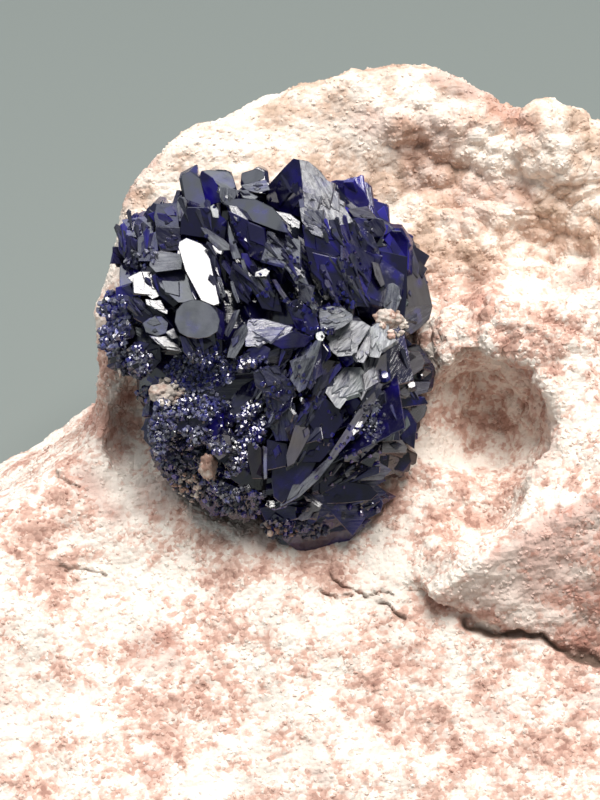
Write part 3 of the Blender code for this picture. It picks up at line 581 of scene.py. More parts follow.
# Each crystal: habit, head, foot (across, up, out), width, thickness, which way its broad face looks,
# and its tone.
CRYSTALS = (
    # Top row, standing against the back wall
    (block, (-4.6, 10.7, 0.6), (-3.8, 6.4, 0.4), 1.15, 1.5, (-0.15, 0.35, 0.92), SLATE),
    (block, (-3.1, 10.8, 0.2), (-1.8, 6.4, 1.2), 1.7, 1.8, (0.35, 0.45, 0.82), SLATE),
    (block, (-0.6, 10.9, -0.4), (-0.2, 7.6, 0.6), 1.5, 1.3, (0.1, 0.3, 0.95), INK),
    (block, (-6.7, 8.8, 0.2), (-5.6, 5.4, 1.0), 1.5, 1.6, (-0.1, 0.2, 0.97), INK),
    (block, (-7.9, 8.0, -0.4), (-7.1, 5.0, 0.4), 2.0, 1.8, (-0.25, 0.15, 0.95), VIOLET),
    (block, (-8.2, 6.2, -0.8), (-7.2, 4.2, 0.0), 1.5, 1.4, (-0.45, 0.1, 0.88), INK),
    (blade, (-5.2, 9.6, 1.2), (-3.6, 4.6, 2.4), 1.3, 0.8, (0.75, 0.25, 0.6), INK),
    (spear, (1.9, 11.4, 1.8), (3.7, 5.2, 2.8), 8.8, 4.4, (0.1, 0.15, 0.98), SLATE),
    (plate, (3.7, 9.9, 1.4), (5.2, 7.1, 2.4), 1.6, 1.0, (0.6, 0.5, 0.62), SLATE),
    (block, (5.0, 10.2, -0.6), (5.6, 6.6, 1.0), 2.4, 2.0, (0.35, 0.35, 0.86), ROYAL),
    (block, (6.4, 8.9, -0.4), (6.6, 5.6, 1.2), 1.7, 1.7, (0.4, 0.4, 0.82), ROYAL),
    (plate, (6.4, 7.6, 0.6), (8.2, 0.9, 1.2), 2.1, 2.2, (0.3, -0.12, 0.95), UMBER),
    (plate, (7.8, 7.4, 2.0), (8.0, 4.4, 2.2), 1.6, 1.4, (0.1, 0.2, 0.97), ROYAL),
    # The great shield on the right and the sheets behind it
    (blade, (3.6, 7.8, 3.4), (7.2, 1.9, 4.4), 3.7, 1.6, (0.3, 0.2, 0.93), INK),
    (leaf, (3.8, 8.6, 2.4), (7.7, 2.6, 3.8), 3.0, 1.2, (0.5, 0.25, 0.83), ROYAL),
    (leaf, (5.0, 8.2, 1.6), (8.2, 2.4, 2.8), 2.6, 1.2, (0.62, 0.2, 0.76), VIOLET),
    (blade, (1.6, 6.6, 3.8), (5.2, 2.0, 5.4), 1.6, 0.8, (-0.3, 0.2, 0.93), INK),
    # The long central blade and its companions
    (blade, (-2.1, 9.2, 2.8), (3.4, 1.6, 5.2), 2.7, 1.5, (0.28, 0.42, 0.86), SLATE),
    (blade, (-2.2, 8.2, 2.6), (1.0, 2.2, 5.0), 1.9, 1.2, (-0.55, 0.1, 0.83), VIOLET),
    (blade, (-3.6, 9.2, 1.6), (-0.6, 3.4, 4.2), 1.5, 0.9, (-0.2, 0.3, 0.93), INK),
    (blade, (-2.4, 7.6, 3.2), (-0.8, 2.6, 5.0), 1.0, 0.7, (0.5, 0.2, 0.84), SLATE),
    (blade, (0.6, 7.4, 3.4), (3.0, 2.8, 5.2), 1.1, 0.7, (0.6, 0.5, 0.62), INK),
    (blade, (1.2, 7.6, 2.6), (4.2, 3.6, 4.2), 1.3, 0.8, (0.2, 0.8, 0.55), SLATE),
    (plate, (-3.8, 7.2, 3.0), (-2.0, 5.8, 3.8), 1.0, 0.6, (0.15, 0.2, 0.97), DUSK),
    # The pale facets on the left
    (plate, (-5.0, 6.8, 3.4), (-2.9, 2.8, 5.2), 1.8, 1.0, (0.3, -0.2, 0.93), VIOLET),
    (plate, (-6.8, 6.0, 2.6), (-4.4, 2.6, 4.4), 2.1, 1.1, (-0.05, 0.3, 0.95), DUSK),
    (disc, (-5.0, 2.7, 4.6), (-3.2, 1.1, 4.9), 2.3, 1.6, (-0.06, 0.2, 0.98), SLATE),
    (blade, (-3.6, 1.6, 3.6), (-2.4, -1.6, 5.2), 1.8, 1.4, (0.3, -0.2, 0.93), INK),
    (blade, (-8.6, 5.0, 1.0), (-5.4, 2.4, 3.4), 1.7, 0.9, (-0.1, 0.62, 0.78), SLATE),
    (blade, (-8.2, 3.8, 1.4), (-5.2, 1.6, 3.8), 1.3, 0.8, (-0.25, 0.4, 0.88), SLATE),
    (leaf, (-7.4, 1.6, 2.8), (-4.6, -0.2, 4.4), 1.7, 1.2, (-0.2, 0.45, 0.87), SLATE),
    (block, (-9.4, 3.0, -0.2), (-7.6, 1.4, 1.6), 1.6, 1.5, (-0.5, 0.3, 0.8), ROYAL),
    (block, (-9.5, 1.0, -0.2), (-7.8, 0.4, 1.8), 1.5, 1.5, (-0.4, -0.1, 0.9), VIOLET),
    (block, (-9.2, -0.8, 0.4), (-7.2, 0.0, 2.0), 1.6, 1.4, (-0.3, -0.4, 0.86), UMBER),
    (block, (-8.0, -1.2, 1.2), (-6.2, 0.2, 2.8), 1.5, 1.3, (-0.1, -0.4, 0.9), INK),
    # The pair of leaves in the middle
    (leaf, (-1.0, 1.9, 6.0), (-2.4, -1.6, 5.8), 1.4, 0.8, (-0.45, 0.15, 0.88), SLATE),
    (leaf, (1.8, 1.3, 6.4), (-2.2, -1.6, 6.0), 1.9, 1.2, (0.2, 0.35, 0.9), DUSK),
    (blade, (-1.2, 3.0, 5.8), (-0.4, 0.8, 6.2), 0.8, 0.6, (0.5, 0.1, 0.86), INK),
    (blade, (0.2, 3.8, 5.2), (2.6, 0.8, 6.4), 0.9, 0.5, (-0.35, -0.1, 0.93), SLATE),
    (blade, (1.0, 3.4, 5.6), (2.9, 0.2, 6.6), 1.1, 0.6, (0.1, -0.35, 0.93), SLATE),
    (block, (2.4, 1.4, 6.2), (1.0, 0.0, 5.8), 1.4, 1.2, (-0.1, -0.2, 0.97), ROYAL),
    # The stepped plates right of the middle
    (plate, (3.3, 2.4, 6.2), (5.0, 1.2, 5.6), 1.3, 1.0, (-0.2, 0.5, 0.84), SLATE),
    (plate, (4.2, 1.7, 6.0), (6.2, 0.1, 5.0), 1.9, 1.1, (0.1, 0.35, 0.93), SLATE),
    (block, (4.6, 0.2, 5.6), (5.6, -1.2, 4.8), 1.5, 1.2, (0.1, -0.3, 0.95), ROYAL),
    (plate, (7.5, 3.7, 3.0), (8.0, 1.9, 3.0), 0.9, 0.8, (0.1, 0.1, 0.98), PALE),
    # The fan of long blades that runs from the right down to the left
    (blade, (7.8, 2.2, 3.2), (4.2, -3.7, 6.0), 1.7, 0.9, (0.25, 0.3, 0.92), DUSK),
    (blade, (3.4, 0.8, 7.0), (2.0, -3.0, 6.6), 1.4, 0.9, (-0.35, 0.35, 0.87), SLATE),
    (blade, (8.2, 1.0, 1.8), (0.6, -9.4, 5.8), 2.9, 0.8, (-0.72, 0.3, 0.62), INK),
    (blade, (6.6, 0.4, 3.2), (0.0, -8.6, 5.8), 2.8, 0.8, (-0.6, 0.2, 0.78), INK),
    (blade, (4.4, 0.0, 5.0), (-0.4, -7.0, 6.0), 2.5, 0.8, (-0.5, 0.25, 0.83), INK),
    (blade, (2.9, -2.6, 7.0), (1.4, -7.2, 6.6), 0.9, 0.7, (0.5, 0.0, 0.86), UMBER),
    (blade, (2.2, -0.6, 6.4), (-0.8, -5.6, 6.4), 1.6, 0.6, (-0.75, 0.35, 0.55), INK),
    (blade, (1.0, -1.0, 6.4), (-1.8, -5.2, 6.0), 1.4, 0.6, (-0.6, 0.5, 0.62), SLATE),
    (blade, (0.2, -1.6, 6.2), (-2.8, -5.0, 5.6), 1.3, 0.6, (-0.45, 0.5, 0.74), INK),
    (blade, (-0.8, -4.4, 6.2), (-0.4, -9.0, 4.8), 1.6, 1.0, (0.3, -0.15, 0.94), UMBER),
    (blade, (7.0, -2.4, 2.8), (2.6, -8.8, 4.6), 2.4, 0.9, (0.3, 0.1, 0.94), UMBER),
    (blade, (7.4, -3.6, 1.8), (4.2, -8.6, 3.4), 2.2, 1.0, (0.45, -0.1, 0.88), UMBER),
    # The foot of the rosette
    (leaf, (7.2, -8.8, 1.4), (2.0, -9.0, 4.0), 2.6, 1.8, (0.2, 0.1, 0.97), VIOLET),
    (blade, (-0.2, -10.2, 3.4), (4.4, -8.6, 3.6), 2.2, 1.3, (-0.1, -0.3, 0.94), INK),
    (leaf, (6.2, -10.0, 1.6), (0.6, -10.6, 3.0), 1.9, 1.3, (0.2, -0.5, 0.84), VIOLET),
    (block, (0.6, -11.3, 2.2), (2.0, -9.2, 3.0), 1.7, 1.4, (-0.2, -0.5, 0.84), INK),
    # The dark stubs on the lower right
    (block, (9.4, -0.4, 0.2), (7.0, -1.0, 2.2), 1.8, 1.7, (0.3, 0.1, 0.95), UMBER),
    (block, (9.9, -1.5, -0.2), (7.4, -2.2, 1.8), 1.8, 1.6, (0.35, -0.1, 0.93), UMBER),
    (block, (9.2, -2.8, 0.0), (7.0, -3.0, 1.8), 1.9, 1.5, (0.3, -0.2, 0.93), UMBER),
    (block, (8.9, -4.6, 0.2), (6.4, -4.0, 2.4), 2.2, 2.0, (0.3, -0.1, 0.95), UMBER),
    (block, (8.4, -6.8, 0.0), (6.0, -5.6, 2.2), 2.1, 2.0, (0.3, -0.3, 0.9), UMBER),
    (blade, (8.3, -3.2, 2.8), (7.8, -5.4, 2.6), 0.9, 0.8, (0.1, 0.25, 0.96), PALE),
    # The rounded knots under the sparkling crust on the lower left
    (disc, (-6.0, -2.2, 2.6), (-3.6, -4.4, 4.4), 2.6, 2.4, (-0.3, 0.1, 0.95), ROYAL),
    (block, (-6.9, -5.2, 1.2), (-4.4, -4.2, 3.4), 2.2, 2.0, (-0.4, -0.1, 0.9), VIOLET),
    (block, (-6.2, -6.8, 0.6), (-4.0, -5.4, 3.2), 1.9, 1.9, (-0.3, -0.4, 0.86), INK),
    (block, (-4.9, -8.2, 0.6), (-3.2, -6.2, 3.4), 2.0, 1.8, (-0.2, -0.5, 0.84), INK),
    (block, (-3.2, -9.4, 1.6), (-1.8, -6.8, 4.0), 2.3, 1.9, (-0.1, -0.5, 0.86), VIOLET),
    (block, (-1.6, -9.9, 2.4), (-0.8, -7.6, 4.2), 2.0, 1.7, (0.0, -0.5, 0.86), INK),
    (blade, (-3.8, -2.6, 5.2), (-2.4, -6.2, 5.4), 1.8, 1.2, (-0.4, 0.0, 0.92), ROYAL),
    (blade, (-2.6, -4.4, 5.8), (-1.6, -7.8, 5.0), 1.7, 1.2, (-0.1, -0.2, 0.97), INK),
    (blade, (-6.8, -1.8, 2.4), (-3.8, -1.4, 4.8), 1.6, 1.2, (-0.1, 0.2, 0.97), ROYAL),
    (blade, (-7.2, -2.4, 1.0), (-4.8, -2.8, 3.0), 1.3, 1.0, (-0.2, 0.3, 0.93), INK),
)


def lump(centre, radii, seed, swell=0.0):
    """Points of a rough ball, for the core of the rosette."""
    shape = bmesh.new()
    bmesh.ops.create_icosphere(shape, subdivisions=2, radius=1.0)
    points = np.array([corner.co for corner in shape.verts])
    shape.free()
    rough = 1.0 + 0.16 * noise(points * 3.0, 1.0, seed)
    points = points * rough[:, None] * (np.array(radii) + swell)
    return spot(*centre) + points[:, :1] * ACROSS + points[:, 1:2] * UP_FACE + points[:, 2:] * OUT


# Ways a face can look (across, up, out), named for what it mirrors towards the photograph's view
KEY_SIDE = (0.083, 0.43, 0.9)
SHEEN_SIDE = (0.0, 0.53, 0.85)
SKY_SIDE = (-0.17, 0.65, 0.74)
WINDOW_SIDE = (-0.52, 0.17, 0.84)
CARD_SIDE = (0.51, 0.21, 0.84)
AHEAD = (0.02, -0.04, 1.0)
LOW_LEFT = (-0.35, -0.2, 0.91)
LOW_RIGHT = (0.36, -0.22, 0.9)
TURNED_RIGHT = (0.62, 0.1, 0.78)

# The faces that the photograph shows: outline (across, up), how far it stands out in layers, which way it looks,
# the crystal's thickness behind it, its tone, how striated it is and how frosted
FACES = (
    # Top row, from the left
    (
        ((-8.52, 7.8), (-7.62, 7.92), (-6.66, 8.07), (-6.63, 7.44), (-6.78, 6.96), (-7.5, 6.72),
         (-8.28, 6.93), (-8.43, 7.38)),
        0, SKY_SIDE, 1.6, VIOLET, 1, 0.05,
    ),
    (((-7.02, 8.13), (-6.48, 8.34), (-6.42, 7.86), (-6.63, 7.68)), 0, LOW_LEFT, 1.4, ROYAL, 0.2, 0),
    (
        ((-7.62, 6.72), (-6.48, 7.08), (-6.42, 6.0), (-6.9, 5.34), (-7.56, 5.34), (-7.62, 6.0)),
        1, WINDOW_SIDE, 1.6, VIOLET, 0.8, 0.1,
    ),
    (
        ((-8.76, 6.78), (-7.98, 6.84), (-7.56, 5.58), (-7.62, 4.8), (-8.04, 4.98), (-8.76, 6.0)),
        0, LOW_LEFT, 1.6, VIOLET, 0.4, 0.05,
    ),
    (
        ((-9.12, 6.18), (-8.22, 6.12), (-8.04, 5.58), (-8.16, 4.98), (-8.88, 4.98), (-9.12, 5.52)),
        0, LOW_RIGHT, 1.4, UMBER, 0.3, 0.1,
    ),
    (
        ((-6.48, 8.73), (-5.28, 8.79), (-5.22, 7.74), (-5.16, 7.32), (-5.82, 7.44), (-6.54, 7.44),
         (-6.63, 7.98)),
        0, WINDOW_SIDE, 1.6, VIOLET, 1, 0.03,
    ),
    (((-6.54, 7.38), (-5.1, 7.32), (-5.04, 6.0), (-6.24, 5.94), (-6.48, 6.66)), 1, AHEAD, 1.8, INK, 1, 0.1),
    (
        ((-5.22, 9.12), (-4.83, 9.15), (-4.68, 8.88), (-4.89, 7.74), (-5.16, 7.74), (-5.28, 8.64)),
        1, WINDOW_SIDE, 1.2, DUSK, 0.3, 0.35,
    ),
    (
        ((-4.98, 10.47), (-4.47, 10.68), (-3.9, 10.26), (-3.48, 8.52), (-4.59, 8.52), (-4.8, 9.18),
         (-4.98, 10.2)),
        1, WINDOW_SIDE, 1.8, SLATE, 0.05, 0,
    ),
    (
        ((-3.9, 10.38), (-3.78, 10.71), (-3.12, 10.29), (-2.82, 9.78), (-2.64, 8.94), (-3.42, 8.64),
         (-3.57, 9.06)),
        0, LOW_LEFT, 1.8, ROYAL, 0.1, 0,
    ),
    (
        ((-3.72, 10.71), (-3.42, 10.77), (-2.22, 10.68), (-1.95, 10.41), (-1.77, 9.78), (-2.22, 9.48),
         (-2.7, 9.78), (-2.82, 10.14), (-3.18, 10.32)),
        1, SKY_SIDE, 1.6, SLATE, 0.1, 0,
    ),
    (
        ((-2.82, 9.78), (-2.16, 9.6), (-1.56, 9.57), (-2.1, 8.52), (-2.64, 8.88)),
        2, WINDOW_SIDE, 1.6, SLATE, 1, 0.2,
    ),
    (
        ((-1.38, 10.59), (-0.51, 10.86), (0.0, 10.62), (-0.12, 10.26), (-0.96, 9.87), (-1.44, 9.9)),
        0, WINDOW_SIDE, 1.4, SLATE, 0.1, 0,
    ),
    (
        ((-1.44, 9.87), (-0.63, 10.08), (0.03, 10.2), (0.3, 9.6), (-0.48, 9.42), (-1.14, 9.6)),
        1, SKY_SIDE, 1.4, INK, 0.9, 0.3,
    ),
    (
        ((-4.62, 8.52), (-3.42, 8.52), (-2.34, 7.74), (-2.46, 6.66), (-3.9, 6.78), (-5.04, 6.96),
         (-4.98, 7.86)),
        0, AHEAD, 2.0, INK, 0.2, 0,
    ),
    (
        ((-3.3, 8.58), (-3.06, 8.73), (-2.79, 8.4), (-2.76, 7.92), (-3.12, 7.95)),
        2, KEY_SIDE, 0.8, PALE, 0.1, 0.6,
    ),
    # The great prism, and the ones right of it
    (
        ((1.68, 11.4), (2.04, 11.31), (2.34, 8.64), (2.1, 8.04), (1.02, 8.34), (0.18, 8.82), (0.06, 9.66),
         (0.66, 10.26), (1.14, 10.86)),
        1, LOW_LEFT, 2.4, INK, 0.3, 0,
    ),
    (
        ((1.62, 11.28), (2.04, 11.28), (2.37, 8.64), (2.1, 8.46), (1.86, 9.6)),
        2, WINDOW_SIDE, 1.0, VIOLET, 0.1, 0.1,
    ),
    (
        ((2.04, 11.34), (2.64, 11.22), (3.3, 10.68), (4.14, 9.6), (5.22, 7.74), (4.68, 7.56), (4.08, 7.38),
         (3.18, 7.86), (2.4, 8.64)),
        2, SHEEN_SIDE, 2.4, DUSK, 1, 0.5,
    ),
    (
        ((2.1, 8.46), (2.46, 8.58), (3.12, 7.92), (3.96, 7.38), (3.6, 6.72), (2.82, 6.96), (2.22, 7.68)),
        3, SHEEN_SIDE, 1.4, INK, 1, 0.3,
    ),
    (((0.6, 8.34), (1.5, 8.16), (2.1, 7.68), (2.04, 7.26), (1.38, 7.56)), 3, KEY_SIDE, 1.0, DUSK, 0.9, 0.3),
    (
        ((3.84, 10.02), (4.32, 10.17), (4.86, 10.14), (5.46, 9.96), (5.94, 9.48), (6.24, 8.88),
         (6.0, 8.52), (5.1, 8.46), (4.74, 8.76)),
        0, LOW_LEFT, 2.0, ROYAL, 0.25, 0,
    ),
    (
        ((5.28, 9.96), (5.58, 9.96), (6.0, 9.42), (6.24, 8.82), (5.76, 9.06)),
        1, WINDOW_SIDE, 1.0, VIOLET, 0.6, 0.3,
    ),
    (
        ((4.98, 8.43), (6.12, 8.61), (6.72, 7.86), (6.06, 7.86), (5.34, 7.98)),
        1, CARD_SIDE, 1.6, UMBER, 0.3, 0.2,
    ),
    (((5.22, 7.98), (6.06, 7.86), (6.42, 7.44), (6.18, 6.84), (5.58, 7.14)), 0, AHEAD, 1.6, INK, 0.5, 0.1),
    (
        ((6.24, 7.68), (6.6, 7.92), (7.08, 7.8), (7.26, 7.26), (7.08, 6.84), (6.48, 6.78), (6.12, 7.2)),
        2, LOW_LEFT, 1.4, VIOLET, 0.2, 0.15,
    ),
    (
        ((7.02, 7.83), (8.16, 7.2), (8.88, 6.66), (8.58, 6.54), (8.1, 7.11), (7.26, 7.14)),
        1, CARD_SIDE, 1.4, DUSK, 0.1, 0.1,
    ),
    (
        ((7.14, 6.84), (7.62, 7.14), (8.16, 7.11), (8.58, 6.6), (8.52, 5.52), (7.86, 5.52), (6.96, 5.88)),
        2, LOW_LEFT, 1.8, ROYAL, 0.05, 0,
    ),
    (
        ((6.96, 5.88), (7.92, 5.52), (8.52, 5.52), (8.46, 3.0), (8.34, 1.92), (7.62, 1.92), (7.02, 3.6)),
        1, AHEAD, 2.0, INK, 0.2, 0,
    ),
    (
        ((8.55, 6.66), (8.88, 6.6), (9.3, 5.52), (9.78, 3.78), (10.02, 2.64), (8.58, 2.64), (8.49, 4.8)),
        1, CARD_SIDE, 2.6, UMBER, 0.4, 0.05,
    ),
    (
        ((8.46, 2.58), (10.02, 2.64), (9.84, 1.86), (9.3, 1.32), (8.76, 0.96), (8.4, 1.2), (8.22, 1.92)),
        1, CARD_SIDE, 2.0, UMBER, 0.1, 0.12,
    ),
    # The shield in the middle of the upper right
    (
        ((2.28, 7.44), (3.18, 7.68), (4.14, 7.26), (5.1, 6.24), (4.98, 5.28), (3.42, 5.28), (2.46, 6.12)),
        2, AHEAD, 2.2, ROYAL, 0.3, 0,
    ),
    (
        ((2.46, 6.18), (3.42, 5.34), (5.04, 5.28), (5.82, 3.48), (6.18, 2.64), (5.22, 2.7), (4.26, 3.24),
         (2.82, 4.68)),
        2, AHEAD, 2.2, INK, 0.9, 0,
    ),
    (
        ((4.26, 7.32), (4.8, 7.44), (5.58, 6.24), (6.42, 4.44), (6.72, 3.0), (6.3, 2.64), (5.82, 3.84),
         (5.1, 5.76)),
        1, TURNED_RIGHT, 2.0, VIOLET, 0.6, 0.05,
    ),
    (
        ((4.8, 7.5), (5.34, 7.62), (6.06, 6.6), (6.78, 5.28), (7.2, 3.96), (6.78, 3.72), (6.18, 5.28)),
        0, AHEAD, 2.0, INK, 0.7, 0.05,
    ),
    (
        ((6.42, 5.28), (6.84, 5.16), (7.2, 3.96), (6.96, 3.78), (6.6, 4.44)),
        2, CARD_SIDE, 0.8, UMBER, 0.2, 0.2,
    ),
    # The long central blade and its neighbours
    (
        ((-2.64, 8.94), (-1.98, 8.94), (-1.56, 9.06), (-0.54, 9.0), (0.42, 8.52), (0.9, 7.98),
         (1.38, 7.02), (0.54, 7.23), (-0.96, 7.8), (-1.62, 8.58), (-2.22, 8.7)),
        3, WINDOW_SIDE, 2.2, SLATE, 0.05, 0,
    ),
    # Granular sandstone, pink and cream below and beige above, with painted shade in its cracks and hollows; loose
    # grains take their colour from their tint.
    (
        ((-0.96, 7.74), (0.54, 7.2), (1.38, 7.02), (1.98, 5.52), (2.4, 4.38), (1.5, 4.62), (0.6, 5.52),
         (-0.18, 6.6)),
        3, SKY_SIDE, 2.0, SLATE, 0.8, 0.12,
    ),
    (
        ((1.5, 4.56), (2.4, 4.38), (2.76, 3.6), (3.18, 2.34), (2.82, 2.46), (2.16, 3.36)),
        4, WINDOW_SIDE, 1.2, SLATE, 0.5, 0.15,
    ),
    (
        ((-2.16, 8.28), (-1.02, 7.74), (-0.12, 6.48), (0.78, 5.34), (-0.48, 5.4), (-0.96, 5.64),
         (-1.62, 6.6)),
        2, LOW_LEFT, 2.0, VIOLET, 0.6, 0,
    ),
    (
        ((-1.56, 9.54), (-1.14, 9.57), (-0.42, 9.18), (-0.66, 9.0), (-1.32, 9.12)),
        2, SKY_SIDE, 1.0, SLATE, 0.9, 0.35,
    # Red-brown stain, partly painted shade on the slab at the lower right.
    ),
    (
        # Painted shade: the cracks, and the hollows where the relief sinks, are darkened towards dark brown.
        ((-2.16, 8.67), (-1.68, 8.61), (-1.02, 7.8), (-1.71, 7.74), (-2.04, 8.28)),
        4, KEY_SIDE, 1.0, DUSK, 0.05, 0.5,
    ),
    (
        ((-2.22, 7.68), (-1.92, 6.78), (-1.44, 5.52), (-1.92, 5.46), (-2.1, 6.0), (-2.22, 6.96)),
        3, WINDOW_SIDE, 1.0, SLATE, 0.1, 0.2,
    ),
    (
        ((-3.84, 7.32), (-3.48, 7.26), (-2.52, 6.66), (-2.16, 6.33), (-2.16, 6.0), (-2.76, 5.97),
         (-3.3, 6.48)),
        3, WINDOW_SIDE, 1.2, DUSK, 0.05, 0.3,
    ),
    (
        ((-5.1, 6.42), (-4.68, 6.66), (-3.84, 6.33), (-3.42, 5.94), (-3.39, 5.58), (-3.18, 4.68),
         (-2.76, 2.88), (-3.12, 2.76), (-3.84, 3.06), (-4.74, 4.74), (-5.16, 6.12)),
        4, KEY_SIDE, 1.6, SLATE, 0.03, 0.12,
    ),
    (
        ((-3.42, 5.94), (-3.12, 6.0), (-2.7, 4.92), (-2.46, 3.0), (-2.76, 2.88), (-3.18, 4.68)),
        2, AHEAD, 1.6, INK, 0.2, 0,
    ),
    (
        ((-6.78, 5.67), (-6.24, 5.94), (-5.1, 5.73), (-4.98, 5.34), (-5.04, 4.86), (-5.82, 4.77),
         (-6.54, 4.68), (-6.9, 5.07)),
        2, SKY_SIDE, 1.6, DUSK, 0.2, 0.3,
    ),
    (
        ((-6.57, 4.65), (-5.04, 4.83), (-4.68, 4.44), (-4.08, 3.06), (-4.5, 2.88), (-5.22, 2.88),
         (-6.24, 3.78)),
        2, SKY_SIDE, 1.6, SLATE, 0.15, 0.06,
    ),
    (
        ((-6.78, 4.38), (-6.54, 4.56), (-5.22, 2.82), (-5.52, 2.58), (-6.36, 3.3)),
        1, AHEAD, 1.4, SLATE, 0.2, 0,
    ),
    (
        ((-4.62, 4.2), (-4.38, 4.08), (-4.02, 3.12), (-4.2, 3.0), (-4.44, 3.54)),
        4, KEY_SIDE, 0.6, SLATE, 0.1, 0,
    ),
    (
        ((-0.57, 4.68), (0.03, 4.92), (0.3, 4.74), (0.12, 4.41), (-0.63, 4.38)),
        4, KEY_SIDE, 0.8, DUSK, 0.05, 0.3,
    ),
    # The disc, the lens and the glints on the left
    (
        ((-5.28, 2.34), (-4.86, 2.82), (-4.38, 2.97), (-3.84, 2.94), (-3.3, 2.67), (-2.94, 2.28),
         (-2.76, 1.8), (-2.88, 1.14), (-3.42, 0.81), (-4.02, 0.72), (-4.62, 0.81), (-5.1, 1.08),
         (-5.37, 1.68)),
        5, WINDOW_SIDE, 1.8, SLATE, 0.03, 0.04,
    ),
    (
        ((-3.18, 2.76), (-2.46, 2.22), (-2.4, 0.66), (-2.88, 0.66), (-2.76, 1.86)),
        3, TURNED_RIGHT, 1.6, VIOLET, 0.3, 0,
    ),
    (
        ((-4.98, 0.72), (-3.9, 0.66), (-2.58, 0.72), (-2.58, -0.12), (-3.18, -0.48), (-3.9, -0.48),
         (-4.56, 0.0)),
        2, AHEAD, 1.8, INK, 0.8, 0,
    ),
    (
        ((-5.1, 0.84), (-4.74, 0.72), (-3.96, -0.6), (-4.32, -0.78), (-4.86, -0.12)),
        3, LOW_LEFT, 1.2, VIOLET, 0.1, 0.1,
    ),
    (
        ((-7.32, 1.62), (-6.9, 1.92), (-6.24, 2.01), (-5.82, 1.62), (-5.94, 1.02), (-6.48, 0.84),
         (-7.14, 1.08)),
        2, WINDOW_SIDE, 1.6, SLATE, 0.3, 0.1,
    ),
    (
        ((-6.9, 0.84), (-5.82, 0.72), (-5.16, 0.24), (-4.98, -0.12), (-5.82, 0.03), (-6.42, 0.36)),
        2, KEY_SIDE, 1.0, DUSK, 0.9, 0.35,
    ),
    (((-6.0, 1.08), (-5.46, 1.32), (-5.22, 0.72), (-5.58, 0.66)), 2, KEY_SIDE, 0.8, DUSK, 0.9, 0.4),
    (
        ((-8.22, 4.32), (-7.5, 4.68), (-6.78, 4.68), (-6.42, 3.66), (-6.36, 3.24), (-6.78, 3.06),
         (-7.5, 3.66)),
        2, KEY_SIDE, 1.2, SLATE, 1, 0.1,
    ),
    (
        ((-7.17, 3.06), (-6.78, 3.0), (-5.82, 2.4), (-5.88, 2.13), (-6.36, 2.34), (-7.11, 2.73)),
        2, KEY_SIDE, 1.0, SLATE, 1, 0.2,
    ),
    (
        ((-8.04, 3.0), (-6.9, 2.64), (-5.94, 2.04), (-6.9, 1.98), (-7.32, 1.62), (-7.86, 1.92)),
        1, AHEAD, 1.4, INK, 0.6, 0,
    ),
    (
        ((-8.94, 3.72), (-8.28, 3.9), (-7.44, 3.54), (-7.5, 2.76), (-8.22, 2.52), (-8.88, 3.0)),
        1, LOW_LEFT, 1.4, ROYAL, 0.4, 0.05,
    ),
    (
        ((-8.7, 1.62), (-8.04, 1.68), (-7.74, 1.02), (-7.92, 0.72), (-8.7, 0.54)),
        1, LOW_RIGHT, 1.4, UMBER, 0.6, 0.1,
    ),
    (
        ((-8.04, 0.24), (-7.14, 0.48), (-6.3, 0.24), (-6.24, -0.6), (-6.78, -1.26), (-7.74, -1.38),
         (-8.1, -0.6)),
        0, AHEAD, 1.8, INK, 0.7, 0.08,
    ),
    # The leaves in the middle
    (
        ((-2.46, 1.02), (-1.86, 2.34), (-1.5, 2.4), (-1.89, 1.32), (-2.22, 0.78)),
        4, WINDOW_SIDE, 1.0, SLATE, 0.2, 0.25,
    ),
    (
        ((-2.28, -0.42), (-2.16, 0.12), (-1.83, 1.08), (-1.2, 1.56), (-1.02, 1.2), (-1.29, 0.36),
         (-1.8, -0.48)),
        4, WINDOW_SIDE, 1.4, SLATE, 0.2, 0.2,
    ),
    (
        ((-1.14, 1.2), (-0.96, 1.8), (-0.12, 1.86), (0.06, 1.38), (0.84, 1.35), (1.62, 1.38), (1.38, 0.96),
         (0.42, 0.54), (-0.48, 0.24), (-1.14, 0.24)),
        4, SHEEN_SIDE, 1.6, VIOLET, 0.8, 0.4,
    ),
    (
        ((0.36, 0.42), (1.68, 1.14), (2.88, 0.72), (2.34, 0.18), (1.02, 0.06)),
        4, LOW_RIGHT, 1.4, VIOLET, 0.2, 0.05,
    ),
    (
        ((-1.56, -0.66), (-1.02, 0.06), (-0.18, 0.3), (0.3, 0.06), (0.12, -0.48), (-0.78, -0.96),
         (-1.5, -1.2)),
        4, LOW_LEFT, 1.6, ROYAL, 0.4, 0.1,
    ),
    (
        ((0.18, -0.12), (1.08, 0.3), (1.74, 0.12), (1.5, -0.48), (0.72, -0.84), (0.06, -0.72)),
        3, LOW_RIGHT, 1.6, UMBER, 0.3, 0.1,
    ),
    (
        ((-2.88, 4.38), (-2.64, 4.32), (-2.34, 3.24), (-2.58, 3.12), (-2.82, 3.6)),
        3, WINDOW_SIDE, 0.8, SLATE, 0.3, 0.35,
    ),
    (
        ((-2.1, 4.08), (-1.92, 4.14), (-1.5, 2.88), (-1.68, 2.82), (-1.98, 3.48)),
        3, WINDOW_SIDE, 0.8, SLATE, 0.3, 0.3,
    ),
    (
        ((-1.5, 5.46), (-1.26, 5.46), (-0.9, 4.26), (-1.08, 4.2), (-1.38, 4.92)),
        3, WINDOW_SIDE, 0.8, SLATE, 0.3, 0.1,
    ),
    (
        ((0.42, 4.2), (0.66, 4.2), (1.56, 2.88), (1.32, 2.76), (0.84, 3.42)),
        4, CARD_SIDE, 0.8, UMBER, 0.3, 0.3,
    ),
    (
        ((-0.42, 4.2), (0.18, 3.96), (0.9, 3.0), (1.02, 2.28), (-0.18, 2.52), (-0.66, 3.48)),
        2, AHEAD, 1.6, INK, 0.5, 0,
    ),
    (
        ((-1.92, 5.28), (-1.14, 4.92), (-0.78, 3.6), (-1.02, 2.76), (-1.74, 3.24), (-2.1, 4.32)),
        2, AHEAD, 1.6, INK, 0.5, 0,
    ),
    (
